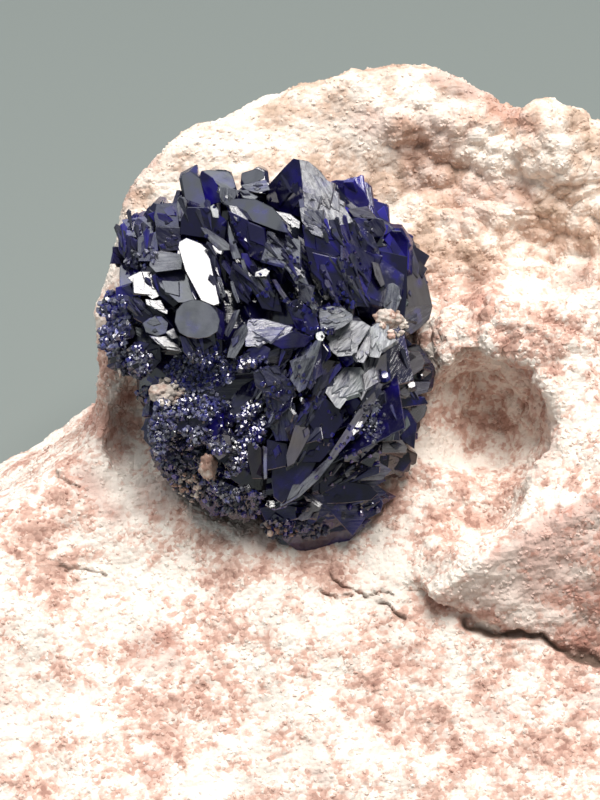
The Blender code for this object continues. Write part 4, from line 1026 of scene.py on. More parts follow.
        ((1.26, 2.82), (1.98, 3.0), (2.94, 2.28), (3.3, 1.2), (2.82, 0.84), (1.86, 1.32)),
        3, LOW_LEFT, 1.6, VIOLET, 0.6, 0.05,
    ),
    (
        ((-2.4, -1.56), (-2.22, -1.53), (-1.95, -1.92), (-2.1, -2.07), (-2.34, -1.8)),
        5, KEY_SIDE, 0.6, PALE, 0.2, 0.5,
    ),
    # The stepped stack, the crinkled leaf and the columns right of the middle
    (
        ((3.3, 2.46), (3.96, 2.61), (4.62, 2.52), (5.22, 2.13), (5.22, 1.8), (4.62, 1.38), (3.66, 0.99),
         (3.36, 1.32), (3.27, 1.98)),
        4, SKY_SIDE, 1.8, SLATE, 1, 0.35,
    ),
    (
        ((3.72, 0.78), (4.56, 1.38), (5.16, 1.74), (5.82, 1.68), (6.3, 1.38), (5.82, 0.78), (5.52, 0.18),
         (5.22, -0.3), (4.38, -0.36), (3.96, 0.0)),
        4, SHEEN_SIDE, 1.8, SLATE, 1, 0.75,
    ),
    (((4.32, -0.36), (5.4, -0.33), (5.28, -0.78), (4.86, -1.05)), 3, LOW_LEFT, 1.4, ROYAL, 0.2, 0),
    (
        ((6.78, 1.68), (7.32, 1.89), (7.44, 1.32), (7.26, 0.42), (6.84, -0.42), (6.3, -0.36), (6.3, 0.54),
         (6.36, 1.26)),
        4, SHEEN_SIDE, 1.8, PALE, 1, 0.8,
    ),
    (
        ((6.3, -0.3), (6.9, -0.36), (6.66, -1.14), (6.24, -2.16), (5.82, -3.0), (5.52, -2.64),
         (5.88, -1.32)),
        4, SHEEN_SIDE, 1.6, DUSK, 1, 0.7,
    ),
    (
        ((6.06, 0.78), (6.36, 0.84), (6.3, 0.0), (5.94, -0.78), (5.46, -0.66), (5.64, 0.06)),
        5, KEY_SIDE, 1.2, DUSK, 0.8, 0.7,
    ),
    (
        ((4.38, -1.5), (4.8, -1.08), (5.7, -1.08), (5.94, -1.44), (5.52, -1.98), (5.16, -2.58),
         (4.68, -3.12), (4.5, -3.48), (4.26, -3.36), (3.96, -2.88), (3.66, -2.52), (3.96, -1.92)),
        4, SHEEN_SIDE, 1.6, PALE, 1, 0.7,
    ),
    (
        ((4.68, -2.94), (5.52, -2.88), (5.82, -3.24), (5.64, -3.84), (5.04, -3.9)),
        3, LOW_LEFT, 1.4, ROYAL, 0.3, 0,
    ),
    (
        ((7.38, 3.9), (7.68, 3.99), (8.04, 3.75), (8.07, 2.82), (7.68, 2.04), (7.32, 2.28), (7.08, 2.7),
         (7.26, 3.24)),
        4, WINDOW_SIDE, 1.2, PALE, 0.3, 0.45,
    ),
    (
        ((7.26, 0.3), (7.56, 0.0), (7.38, -1.32), (6.9, -2.52), (6.42, -3.36), (6.18, -3.12),
         (6.72, -1.5)),
        2, TURNED_RIGHT, 1.8, UMBER, 0.5, 0.05,
    ),
    # The spike and the long blades below it
    (
        ((3.06, 1.02), (3.42, 1.14), (3.6, 0.84), (3.48, 0.54), (3.18, 0.51), (3.03, 0.78)),
        6, KEY_SIDE, 0.7, PALE, 0.05, 0.4,
    ),
    (
        ((3.03, 0.54), (3.36, 0.48), (3.06, -0.6), (2.76, -1.32), (2.43, -2.28), (2.04, -2.52),
         (1.62, -1.86), (1.5, -1.68), (1.92, -0.93), (2.58, -0.06)),
        6, WINDOW_SIDE, 1.6, SLATE, 0.4, 0.35,
    ),
    (
        ((3.36, 0.48), (3.48, 0.0), (3.24, -1.44), (2.76, -2.34), (2.55, -2.16), (2.82, -1.2),
         (3.12, -0.36)),
        5, TURNED_RIGHT, 1.4, VIOLET, 0.3, 0.1,
    ),
    (
        ((3.36, 0.36), (3.84, 0.18), (3.96, -0.36), (3.63, -0.72), (3.24, -0.42)),
        4, LOW_LEFT, 1.2, ROYAL, 0.2, 0,
    ),
    (
        ((2.07, -2.88), (2.22, -2.79), (2.37, -3.0), (2.31, -3.24), (2.13, -3.12)),
        6, KEY_SIDE, 0.6, PALE, 0.05, 0.4,
    ),
    (
        ((2.16, -3.33), (2.88, -3.06), (2.7, -4.32), (2.64, -5.16), (2.16, -6.06), (1.77, -6.72),
         (1.38, -6.93), (1.32, -6.24), (1.71, -5.46), (1.98, -4.14)),
        5, CARD_SIDE, 1.4, UMBER, 0.2, 0.04,
    ),
    (
        ((2.88, -3.12), (3.42, -2.76), (4.38, -3.48), (4.68, -4.32), (3.96, -5.28), (3.3, -5.28),
         (2.7, -5.16)),
        4, AHEAD, 2.0, INK, 0.3, 0,
    ),
    (
        ((3.42, -0.6), (4.5, -0.72), (4.14, -1.68), (3.66, -2.46), (3.18, -2.88), (2.82, -2.52),
         (3.06, -1.68)),
        3, LOW_RIGHT, 1.8, UMBER, 0.6, 0.1,
    ),
    (
        ((2.7, -5.22), (3.96, -5.28), (4.14, -5.76), (3.3, -6.72), (2.34, -6.66), (1.86, -6.72),
         (2.22, -6.0)),
        4, AHEAD, 2.0, INK, 0.3, 0,
    ),
    (
        ((6.78, -2.04), (7.02, -2.16), (6.6, -3.18), (6.06, -4.26), (5.16, -5.34), (4.2, -6.42),
         (3.93, -6.18), (5.04, -4.74), (6.0, -3.06)),
        6, CARD_SIDE, 1.0, DUSK, 0.3, 0.12,
    ),
    (
        ((4.14, -6.12), (4.38, -6.3), (3.18, -7.8), (2.1, -8.79), (0.96, -9.39), (0.96, -9.15),
         (2.01, -8.34), (3.06, -7.14)),
        6, WINDOW_SIDE, 1.0, DUSK, 0.3, 0.2,
    ),
    (
        ((0.48, -6.78), (1.32, -7.02), (1.68, -6.78), (2.34, -6.66), (3.06, -6.72), (2.52, -7.8),
         (1.92, -8.46), (1.02, -9.15), (0.57, -8.82), (0.42, -7.8)),
        4, AHEAD, 2.0, INK, 0.15, 0.03,
    ),
    (
        ((-0.66, -1.32), (0.18, -0.96), (1.14, -1.56), (1.62, -2.04), (1.86, -2.76), (1.14, -3.12),
         (0.18, -2.76), (-0.54, -2.16)),
        4, AHEAD, 1.8, INK, 1, 0.1,
    ),
    (
        ((0.06, -2.88), (1.02, -3.12), (1.74, -3.24), (1.86, -4.2), (1.38, -5.4), (0.66, -5.4),
         (0.18, -4.2)),
        4, LOW_LEFT, 1.8, INK, 0.9, 0.1,
    ),
    (
        ((-1.02, -5.46), (-0.24, -5.88), (-0.15, -7.68), (-0.75, -7.68), (-1.02, -6.6)),
        5, LOW_RIGHT, 1.4, UMBER, 0.1, 0,
    ),
    (((-0.15, -5.76), (0.12, -5.88), (0.12, -7.68), (-0.09, -7.74)), 5, WINDOW_SIDE, 0.9, DUSK, 0.2, 0.12),
    (
        ((0.12, -5.4), (1.32, -5.64), (1.38, -6.36), (1.26, -6.96), (0.48, -6.78), (0.12, -7.2)),
        4, AHEAD, 1.8, INK, 0.4, 0.02,
    ),
    # The dark stubs and brown plates on the lower right
    (
        ((7.62, -0.27), (8.1, -0.06), (9.24, -0.12), (9.57, -0.72), (9.42, -1.14), (8.58, -1.74),
         (7.56, -1.92), (7.44, -1.08)),
        1, CARD_SIDE, 1.8, UMBER, 0.4, 0.08,
    ),
    (
        ((9.3, -1.2), (10.08, -1.26), (9.96, -1.8), (9.3, -2.01), (8.7, -2.13), (8.64, -1.68)),
        1, LOW_RIGHT, 1.6, UMBER, 0.3, 0.03,
    ),
    (
        ((7.5, -1.92), (8.64, -2.13), (9.24, -2.01), (9.9, -1.92), (9.72, -2.52), (9.06, -2.73),
         (8.28, -2.88), (7.56, -2.76)),
        1, CARD_SIDE, 1.6, UMBER, 0.3, 0.15,
    ),
    (
        ((7.44, -2.82), (9.54, -2.82), (9.72, -3.24), (8.7, -3.36), (7.74, -3.54), (7.26, -3.24)),
        0, AHEAD, 1.6, INK, 0.1, 0,
    ),
    (
        ((8.52, -3.36), (9.57, -3.06), (9.72, -3.48), (9.54, -4.02), (9.18, -4.35), (8.64, -4.26)),
        1, CARD_SIDE, 1.6, UMBER, 0.2, 0.12,
    ),
    (
        ((7.08, -3.24), (7.74, -3.48), (7.98, -4.44), (8.1, -5.4), (7.02, -5.46), (6.36, -5.04),
         (6.9, -4.32)),
        1, AHEAD, 1.8, INK, 0.4, 0.05,
    ),
    (
        ((8.04, -3.48), (8.58, -3.6), (9.12, -4.44), (8.94, -5.88), (8.22, -5.4), (7.98, -4.44)),
        1, LOW_RIGHT, 1.8, INK, 0.2, 0.03,
    ),
    (
        ((7.77, -3.54), (8.01, -3.6), (7.86, -4.44), (7.71, -5.4), (7.11, -5.46), (7.11, -4.98),
         (7.44, -4.44)),
        3, WINDOW_SIDE, 1.0, PALE, 0.3, 0.45,
    ),
    (
        ((7.08, -5.46), (8.22, -5.4), (8.52, -5.82), (8.46, -6.18), (7.02, -6.18)),
        2, CARD_SIDE, 1.4, UMBER, 0.2, 0.15,
    ),
    (
        ((6.96, -6.18), (8.64, -6.18), (8.76, -6.72), (8.28, -7.32), (7.86, -7.2), (7.38, -6.96),
         (6.96, -6.72)),
        1, AHEAD, 1.8, UMBER, 0.1, 0.03,
    ),
    (
        ((5.43, -5.28), (6.12, -5.01), (6.66, -5.52), (6.9, -6.12), (6.78, -6.78), (5.7, -6.66),
         (4.77, -6.66), (4.92, -6.0)),
        3, CARD_SIDE, 1.8, UMBER, 0.4, 0.1,
    ),
    (
        ((4.77, -7.2), (5.58, -6.99), (6.78, -6.75), (7.56, -7.2), (6.96, -7.8), (5.7, -7.8),
         (4.92, -7.62)),
        3, CARD_SIDE, 1.6, UMBER, 0.3, 0.22,
    ),
    (
        ((3.78, -7.41), (4.5, -6.75), (4.65, -6.81), (4.11, -7.53), (3.84, -7.53)),
        5, WINDOW_SIDE, 0.8, DUSK, 0.2, 0.5,
    ),
    (
        ((6.06, -3.6), (6.9, -3.24), (7.08, -4.2), (6.42, -4.8), (5.82, -5.04), (5.7, -4.44)),
        3, LOW_RIGHT, 1.6, INK, 1, 0.1,
    ),
    # The foot of the rosette
    (
        ((2.52, -8.67), (3.42, -7.86), (4.92, -7.92), (6.12, -8.07), (6.72, -8.61), (6.3, -9.0),
         (4.8, -9.18), (3.6, -9.21), (2.7, -9.0)),
        2, AHEAD, 2.0, INK, 0.2, 0,
    ),
    (
        ((4.8, -8.82), (5.7, -8.46), (6.72, -8.61), (7.05, -9.21), (6.9, -9.72), (6.12, -10.14),
         (5.04, -10.26), (4.83, -9.6)),
        2, LOW_LEFT, 2.0, VIOLET, 0.3, 0.12,
    ),
    (
        ((3.63, -9.45), (4.83, -9.72), (4.77, -10.14), (3.42, -10.26), (3.24, -9.87)),
        3, WINDOW_SIDE, 1.4, UMBER, 0.2, 0.2,
    ),
    (
        ((2.22, -8.67), (2.64, -8.58), (3.45, -9.21), (3.24, -9.48), (2.64, -9.06)),
        5, KEY_SIDE, 0.8, DUSK, 0.3, 0.2,
    ),
    (
        ((1.98, -10.08), (2.58, -9.21), (3.3, -9.06), (3.42, -9.42), (3.03, -10.02), (2.22, -10.26)),
        4, CARD_SIDE, 1.4, UMBER, 0.4, 0.2,
    ),
    (
        ((-0.3, -9.48), (0.9, -9.21), (1.83, -9.42), (1.83, -10.14), (0.9, -10.41), (0.12, -10.41)),
        3, LOW_LEFT, 1.8, VIOLET, 0.2, 0.02,
    ),
    (
        ((0.18, -10.44), (1.5, -10.32), (3.3, -10.38), (4.8, -10.32), (4.86, -10.8), (2.82, -11.16),
         (0.9, -11.16)),
        2, AHEAD, 1.6, INK, 0.8, 0.1,
    ),
    (
        ((-3.3, -8.16), (-2.52, -7.92), (-1.56, -8.28), (-1.5, -8.82), (-2.52, -8.94), (-3.24, -8.46)),
        3, LOW_LEFT, 1.6, VIOLET, 0.1, 0,
    ),
    (
        ((-3.18, -5.76), (-2.58, -5.07), (-2.1, -5.13), (-1.98, -6.12), (-2.76, -6.6), (-3.12, -6.24)),
        4, CARD_SIDE, 1.4, UMBER, 0.1, 0.06,
    ),
    (
        ((-5.58, -3.72), (-5.1, -3.12), (-4.26, -2.88), (-4.02, -3.18), (-4.5, -4.2), (-4.86, -4.98),
         (-5.46, -4.92), (-5.7, -4.32)),
        3, AHEAD, 1.6, INK, 0.1, 0,
    ),
    (
        ((-6.66, -3.18), (-5.94, -3.12), (-5.58, -3.72), (-5.7, -4.8), (-5.94, -5.88), (-6.3, -6.48),
         (-6.6, -5.7), (-6.78, -4.68)),
        1, LOW_LEFT, 1.8, VIOLET, 0.5, 0,
    ),
    (
        ((-4.74, -4.44), (-4.14, -3.48), (-3.54, -3.12), (-3.3, -3.84), (-3.66, -4.92), (-4.14, -5.76),
         (-4.62, -5.4)),
        3, LOW_LEFT, 1.6, INK, 0.4, 0.04,
    ),
)
LAYER = 0.34
SUNK = 1.1
CLEAN_LAYER = 4
RIB_SPACING = 0.2

SHEETS_OF = {blade: 3, plate: 2, disc: 2, leaf: 3}
LEDGES_ON_FACE = 2
STRIPS_ON_FACE = 5
SHORT_BLADES = 56
ROSETTE_RADII = (9.0, 10.4, 6.0)


def frame_of(head, foot, look):
    """Middle, length and own axes of a crystal between head and foot: along it, across it, out of its face."""
    run = head - foot
    length = np.linalg.norm(run)
    along = run / length
    normal = look - (look @ along) * along
    normal /= np.linalg.norm(normal)
    return (head + foot) / 2, length, np.stack([along, np.cross(normal, along), normal])


def chipped(points, edge):
    """Corners and faces of the convex body round the points, with a narrow bevel along its edges."""
    shape = bmesh.new()
    for point in points:
        shape.verts.new(point)
    bmesh.ops.remove_doubles(shape, verts=shape.verts[:], dist=0.006)
    made = bmesh.ops.convex_hull(shape, input=shape.verts[:])
    spare = {item for item in made["geom_interior"] + made["geom_unused"] if isinstance(item, bmesh.types.BMVert)}
    bmesh.ops.delete(shape, geom=list(spare), context="VERTS")
    bmesh.ops.dissolve_limit(shape, angle_limit=math.radians(1), verts=shape.verts[:], edges=shape.edges[:])
    if edge:
        bmesh.ops.bevel(shape, geom=shape.edges[:], offset=edge, segments=1, affect="EDGES", clamp_overlap=True)
    bmesh.ops.recalc_face_normals(shape, faces=shape.faces[:])
    shape.verts.index_update()
    corners = np.array([corner.co for corner in shape.verts])
    faces = [[corner.index for corner in face.verts] for face in shape.faces]
    shape.free()
    return corners, faces


class Growth:
    """Crystals gathered into one mesh, with each corner's place in its own crystal and the crystal's tone."""

    def __init__(self):
        self.corners, self.places, self.tones, self.frost, self.faces, self.count = [], [], [], [], [], 0

    def add(self, points, centre, axes, tone, chance, edge=0.03, striated=0.6, frost=0.0):
        corners, faces = chipped(points, edge)
        self.faces.extend([index + self.count for index in face] for face in faces)
        self.corners.append(corners @ axes + centre)
        self.places.append(corners + np.array([chance.uniform(-50, 50) for _ in range(3)]))
        self.tones.append(np.tile((*tone, striated), (len(corners), 1)))
        self.frost.append(np.full(len(corners), frost))
        self.count += len(corners)

    def surface(self):
        """What a ray from outside meets."""
        return BVHTree.FromPolygons(np.concatenate(self.corners).tolist(), self.faces)

    def mesh(self, name):
        made = bpy.data.meshes.new(name)
        made.from_pydata((np.concatenate(self.corners) * MM).tolist(), [], self.faces)
        place = made.attributes.new("growth", "FLOAT_VECTOR", "POINT")
        place.data.foreach_set("vector", np.concatenate(self.places).ravel())
        tone = made.attributes.new("tone", "FLOAT_COLOR", "POINT")
        tone.data.foreach_set("color", np.concatenate(self.tones).ravel())
        frost = made.attributes.new("frost", "FLOAT", "POINT")
        frost.data.foreach_set("value", np.concatenate(self.frost))
        return made


def stack(growth, row, chance):
    """A flat crystal as sheets that step back from each other, with low ledges and strips on its face."""
    habit, head, foot, width, thickness, look, tone = row
    centre, length, axes = frame_of(spot(*head), spot(*foot), facing(*look))
    wobble, striated = chance.uniform(-1.0, 1.0), 0.1 if habit is disc else chance.uniform(0.2, 1.0)
    sheets = SHEETS_OF[habit]
    for number in range(sheets):
        level = (number + 0.5) / sheets - 0.5
        whole = number == sheets // 2
        long = length * (1.0 if whole else chance.uniform(0.86, 1.0))
        wide = width * (1.0 if whole else chance.uniform(0.78, 1.0))
        thick = thickness / sheets * 1.06
        points = corners_between(habit(long, wide, thick, wobble + 0.2 * chance.uniform(-1, 1)))
        slip = 0.3 * (length - long) * chance.choice((-1, 1)), 0.45 * (width - wide) * chance.choice((-1, 1))
        place = centre + np.array((*slip, level * thickness)) @ axes
        growth.add(points, place, axes, tone, chance, 0.03, striated)
    if habit is not disc:
        face_relief(growth, (length, 0.84 * width, thickness), centre, axes, tone, chance, striated)


def face_relief(growth, size, centre, axes, tone, chance, striated):
    """Low ledges and long narrow strips that stand out of a crystal's broad face."""
    length, width, thickness = size
    for number in range(LEDGES_ON_FACE + STRIPS_ON_FACE):
        strip = number >= LEDGES_ON_FACE
        long = length * (chance.uniform(0.3, 0.85) if strip else chance.uniform(0.15, 0.45))
        wide = chance.uniform(0.08, 0.22) if strip else width * chance.uniform(0.15, 0.4)
        high = chance.uniform(0.05, 0.12)
        along, side = 0.42 * chance.uniform(-1, 1) * (length - long), 0.46 * chance.uniform(-1, 1) * (width - wide)
        points = corners_between(plate(long, wide, high, chance.uniform(-1, 1), sides=6))
        place = centre + np.array((along, side, 0.5 * thickness + 0.2 * high)) @ axes
        growth.add(points, place, axes, tone, chance, 0.012, striated)


def bundle(growth, row, chance):
    """A stout crystal with thinner ones grown along its sides."""
    habit, head, foot, width, thickness, look, tone = row
    centre, length, axes = frame_of(spot(*head), spot(*foot), facing(*look))
    wobble, striated = chance.uniform(-1.0, 1.0), chance.uniform(0.3, 1.0)
    growth.add(corners_between(habit(length, width, thickness, wobble)), centre, axes, tone, chance, 0.04, striated)
    if habit is spear:
        return
    for _ in range(4):
        long, wide = length * chance.uniform(0.6, 0.97), width * chance.uniform(0.15, 0.45)
        points = corners_between(block(long, wide, 0.7 * wide, wobble))
        side, front = chance.uniform(-0.5, 0.5) * (width - wide), chance.uniform(0.2, 0.5) * thickness
        place = centre + np.array((0.5 * (long - length) * chance.uniform(0.2, 1.0), side, front)) @ axes
        growth.add(points, place, axes, tone, chance, 0.03, striated)
    face_relief(growth, (0.9 * length, 0.6 * width, thickness), centre, axes, tone, chance, striated)


def dome(across, up, swell):
    """How far the rosette's rounded surface stands out at a place on the show face."""
    wide, tall, deep = ROSETTE_RADII
    return swell * deep * math.sqrt(max(0.0, 1.0 - (across / wide) ** 2 - (up / tall) ** 2))


def face_crystal(growth, row, chance):
    """A crystal whose front face has a given outline and looks a given way, with ribs along its face."""
    outline, layer, look, thickness, tone, striated, frost = row
    look = look[0] + chance.uniform(-0.035, 0.035), look[1] + chance.uniform(-0.035, 0.035), look[2]
    outline = np.array(outline)
    middle = outline.mean(axis=0)
    outline = middle + 1.05 * (outline - middle)
    slope = np.array(look[:2]) / look[2]
    stands = 0.3 + dome(*(0.93 * middle), 0.86) + LAYER * layer

    def on_face(place, behind=0.0, shrunk=1.0):
        """A place on the face, or one behind it and drawn in to its middle."""
        away = place - middle
        return spot(*(middle + shrunk * away), stands - np.clip(away @ slope, -1.5, 1.5) - behind)

    front = np.array([on_face(corner) for corner in outline])
    back = np.array([on_face(corner, thickness, 0.86) for corner in outline])
    run = np.linalg.svd(outline - middle)[2][0]
    run = run * (1.0 if run[1] > 0.0 else -1.0)
    centre = front.mean(axis=0)
    _, _, axes = frame_of(centre + on_face(middle + run) - on_face(middle), centre, facing(*look))
    growth.add((np.concatenate([front, back]) - centre) @ axes.T, centre, axes, tone, chance, 0.04, striated, frost)
    ribs(growth, outline - middle, run, lambda place: on_face(middle + place), row, chance)


def chord(outline, level):
    """The first and last place where a line at a level crosses an outline."""
    crossings = [
        start[0] + (end[0] - start[0]) * (level - start[1]) / (end[1] - start[1])
        for start, end in zip(outline, np.roll(outline, -1, axis=0))
        if (start[1] - level) * (end[1] - level) < 0.0
    ]
    return min(crossings), max(crossings)


def ribs(growth, outline, run, on_face, row, chance):
    """Long narrow strips side by side on a face, each turned a little about its length, so that it is striated."""
    _, _, look, _, tone, striated, frost = row
    lean = 0.1 if look is KEY_SIDE else 0.4
    turned = np.stack([run, (-run[1], run[0])], axis=1)
    reach = outline @ turned
    low, high = reach[:, 1].min(), reach[:, 1].max()
    count = min(16, round(striated * (high - low) / RIB_SPACING))
    for number in range(count):
        level = low + (high - low) * (number + 0.5 + 0.35 * chance.uniform(-1, 1)) / count
        first, last = chord(reach, level)
        shares = sorted((chance.uniform(0.04, 0.5), chance.uniform(0.35, 0.96)))
        foot, head = [on_face(turned @ (first + share * (last - first), level)) for share in shares]
        if np.linalg.norm(head - foot) < 0.25:
            continue
        normal = facing(*look)
        side = np.cross(normal, (head - foot) / np.linalg.norm(head - foot))
        centre, length, axes = frame_of(head, foot, normal + lean * chance.uniform(-1, 1) * side)
        size = chance.uniform(0.55, 1.1) * RIB_SPACING, chance.uniform(0.12, 0.2)
        points = corners_between(plate(length, *size, chance.uniform(-1, 1), sides=6))
        growth.add(points, centre, axes, tone, chance, 0.0, 0.2, frost)


# Sparks: small faces that flash: middle (across, up), radii, how many, size
SPARKS = (
    ((-3.9, -1.2), (2.0, 1.0), 120, 0.12),
    ((-5.4, -2.9), (1.3, 0.4), 60, 0.17),
    ((-7.0, -2.6), (0.6, 0.4), 16, 0.2),
    ((-4.3, -3.6), (1.6, 0.8), 40, 0.12),
    ((-0.7, -4.4), (0.8, 1.3), 64, 0.15),
    ((-1.5, -6.3), (0.5, 1.0), 24, 0.14),
    ((-6.0, -5.4), (0.8, 1.9), 40, 0.13),
    ((-4.0, -5.8), (1.6, 1.2), 36, 0.13),
    ((-2.3, -4.2), (0.7, 0.9), 18, 0.13),
    ((-0.9, -0.9), (0.9, 0.3), 20, 0.17),
    ((-0.8, -9.2), (1.0, 0.7), 34, 0.14),
    ((1.2, -10.6), (1.6, 0.45), 34, 0.13),
    ((-9.0, 1.8), (0.9, 1.8), 34, 0.17),
    ((-7.6, -0.6), (0.9, 0.8), 14, 0.15),
    ((-4.2, -8.0), (1.8, 1.2), 44, 0.12),
    ((-3.2, 0.0), (1.0, 0.6), 16, 0.12),
    ((3.4, 2.9), (2.4, 0.8), 44, 0.08),
    ((5.0, 4.8), (1.5, 2.4), 34, 0.06),
    ((3.2, 1.0), (1.0, 0.6), 18, 0.09),
    ((0.3, -3.0), (0.9, 1.2), 34, 0.08),
    ((2.2, -2.2), (1.2, 1.6), 30, 0.06),
    ((4.6, -5.0), (1.6, 1.8), 34, 0.06),
    ((5.9, -9.4), (0.9, 0.4), 6, 0.12),
    ((7.3, -1.4), (0.2, 0.2), 1, 0.24),
    ((9.4, -1.4), (0.3, 0.3), 1, 0.24),
    ((8.9, -2.2), (0.3, 0.2), 1, 0.24),
    ((6.6, -4.6), (0.8, 1.0), 16, 0.08),
    ((-3.0, 7.4), (1.8, 1.4), 14, 0.07),
    ((1.0, 4.6), (2.0, 2.0), 24, 0.07),
    ((5.0, -6.6), (2.4, 1.6), 24, 0.07),
)


def sparks(growth, surface, chance):
    """Small crystals whose broad face looks to the key light."""
    for middle, radii, count, size in SPARKS:
        for _ in range(count):
            reach, turn = math.sqrt(chance.random()), chance.uniform(0.0, 2.0 * math.pi)
            across = middle[0] + reach * radii[0] * math.cos(turn)
            up = middle[1] + reach * radii[1] * math.sin(turn)
            root, _ = sight_meets(surface, across, up)
            if root is None:
                continue
            flash = facing(*KEY_SIDE) + 0.09 * np.array([chance.uniform(-1, 1) for _ in range(3)])
            side = np.cross(flash, facing(chance.uniform(-1, 1), chance.uniform(-1, 1), 0.1))
            half = size * chance.uniform(0.6, 1.3) * side / np.linalg.norm(side)
            centre, length, axes = frame_of(root + half + 0.1 * OUT, root - half + 0.1 * OUT, flash)
            points = corners_between(plate(length, length * chance.uniform(0.5, 1.0), 0.3, chance.uniform(-1, 1)))
            growth.add(points, centre, axes, chance.choice((SLATE, ROYAL, AZURE)), chance, 0.0, 0.0, 0.1)


# Splinters: middle (across, up), radii, how many, the way they run (across, up)
SPLINTERS = (
    ((5.3, 4.4), (1.5, 2.6), 18, (0.45, -0.9)),
    ((4.6, 7.0), (1.2, 0.8), 8, (0.45, -0.9)),
    ((1.8, 4.6), (1.3, 2.4), 20, (0.6, -0.8)),
    ((-0.5, 4.0), (1.0, 1.2), 24, (0.5, -0.85)),
    ((-2.6, 4.4), (0.7, 2.2), 14, (0.3, -0.95)),
    ((-7.6, 6.6), (1.1, 1.0), 8, (0.15, -1.0)),
    ((-3.6, 8.2), (1.6, 0.7), 5, (0.3, -0.95)),
    ((-7.4, 3.4), (0.8, 1.4), 7, (0.6, -0.8)),
    ((-3.4, 0.2), (1.2, 0.8), 12, (0.3, -0.95)),
    ((2.0, -2.4), (2.0, 2.2), 44, (-0.5, -0.85)),
    ((5.0, -3.0), (1.8, 2.6), 34, (-0.5, -0.85)),
    ((0.2, -3.4), (0.9, 1.8), 26, (-0.5, -0.85)),
    ((1.4, -7.0), (1.5, 2.0), 12, (-0.6, -0.8)),
    ((5.2, -7.0), (1.8, 1.4), 12, (-0.8, -0.55)),
    ((3.6, -9.4), (2.6, 0.8), 12, (1.0, 0.15)),
    ((8.2, -2.6), (1.0, 2.0), 7, (0.3, -0.95)),
    ((-5.2, -5.0), (1.2, 1.8), 12, (-0.4, -0.9)),
)


def splinters(growth, surface, chance):
    """Slender crystals that lie on and between the large ones and run the way those do."""
    for middle, radii, count, flow in SPLINTERS:
        for _ in range(count):
            reach, turn = math.sqrt(chance.random()), chance.uniform(0.0, 2.0 * math.pi)
            across = middle[0] + reach * radii[0] * math.cos(turn)
            up = middle[1] + reach * radii[1] * math.sin(turn)
            root, _ = sight_meets(surface, across, up)
            if root is None:
                continue
            veer = chance.uniform(-0.2, 0.2), chance.uniform(-0.2, 0.2)
            half = chance.uniform(0.4, 1.5) * facing(flow[0] + veer[0], flow[1] + veer[1], chance.uniform(-0.25, 0.25))
            look = facing(*KEY_SIDE)
            if chance.random() < 0.82:
                look = facing(chance.uniform(-0.7, 0.7), chance.uniform(-0.4, 0.8), 0.9)
            centre, length, axes = frame_of(root - half + 0.06 * OUT, root + half + 0.06 * OUT, look)
            size = chance.uniform(0.06, 0.2), chance.uniform(0.08, 0.16)
            points = corners_between(blade(length, *size, chance.uniform(-1, 1)))
            tone = chance.choice((INK, INK, VIOLET, SLATE, SLATE, ROYAL))
            growth.add(points, centre, axes, tone, chance, 0.0, 0.3, 0.1)


def short_blades(growth, chance):
    """Blades that radiate from the core on a sunflower pattern and fill the gaps between the others."""
    wide, tall, _ = ROSETTE_RADII
    core = spot(0.0, 0.0, -2.5)
    for number in range(SHORT_BLADES):
        reach = math.sqrt((number + 0.5) / SHORT_BLADES)
        turn = number * math.pi * (3.0 - math.sqrt(5.0))
        across, up = 0.97 * reach * wide * math.cos(turn), 0.97 * reach * tall * math.sin(turn)
        tip = spot(across, up, dome(across, up, 0.84) - 0.5 * chance.random())
        outward = (tip - core) / np.linalg.norm(tip - core)
        foot = tip - chance.uniform(2.6, 4.4) * outward
        side = np.cross(outward, facing(chance.uniform(-1, 1), chance.uniform(-1, 1), 0.2))
        centre, length, axes = frame_of(tip, foot, side)
        size = chance.uniform(0.7, 1.6), chance.uniform(0.3, 0.7)
        points = corners_between(blade(length, *size, chance.uniform(-1, 1)))
        growth.add(points, centre, axes, chance.choice((INK, INK, VIOLET, SLATE)), chance)


# Crusts of small crystals on the large ones: middle (across, up), radii, how many, size, tone
CRUSTS = (
    ((-3.9, -1.3), (2.1, 1.1), 360, 0.27, AZURE),
    ((-4.4, -3.2), (2.3, 0.9), 190, 0.34, AZURE),
    ((-6.1, -5.0), (0.8, 2.0), 130, 0.42, ROYAL),
    ((-4.3, -5.8), (1.8, 1.3), 170, 0.4, VIOLET),
    ((-0.8, -4.5), (0.9, 1.4), 150, 0.3, ROYAL),
    ((-1.8, -6.4), (0.6, 1.1), 60, 0.3, SLATE),
    ((-9.1, 1.6), (1.0, 2.1), 130, 0.42, AZURE),
    ((-7.8, -0.8), (1.1, 0.9), 70, 0.4, VIOLET),
    ((-4.2, -7.6), (2.0, 1.3), 230, 0.34, DUSK),
    ((-1.6, -9.0), (1.9, 0.8), 170, 0.32, DUSK),
    ((1.6, -10.8), (2.4, 0.5), 110, 0.34, VIOLET),
    ((-0.8, -0.8), (1.2, 0.5), 90, 0.26, ROYAL),
    ((-7.4, 5.6), (1.0, 0.8), 26, 0.34, VIOLET),
    ((6.4, -4.2), (0.8, 1.4), 60, 0.22, SLATE),
)


def sight_meets(surface, across, up):
    """Where the line of sight at (across, up) first meets a surface, and that surface's direction."""
    start = spot(across, up, 14.0)
    run = spot(across, up, -12.0) - start
    place, normal, _, _ = surface.ray_cast(Vector(start), Vector(run))
    return (None, None) if place is None else (np.array(place), np.array(normal))


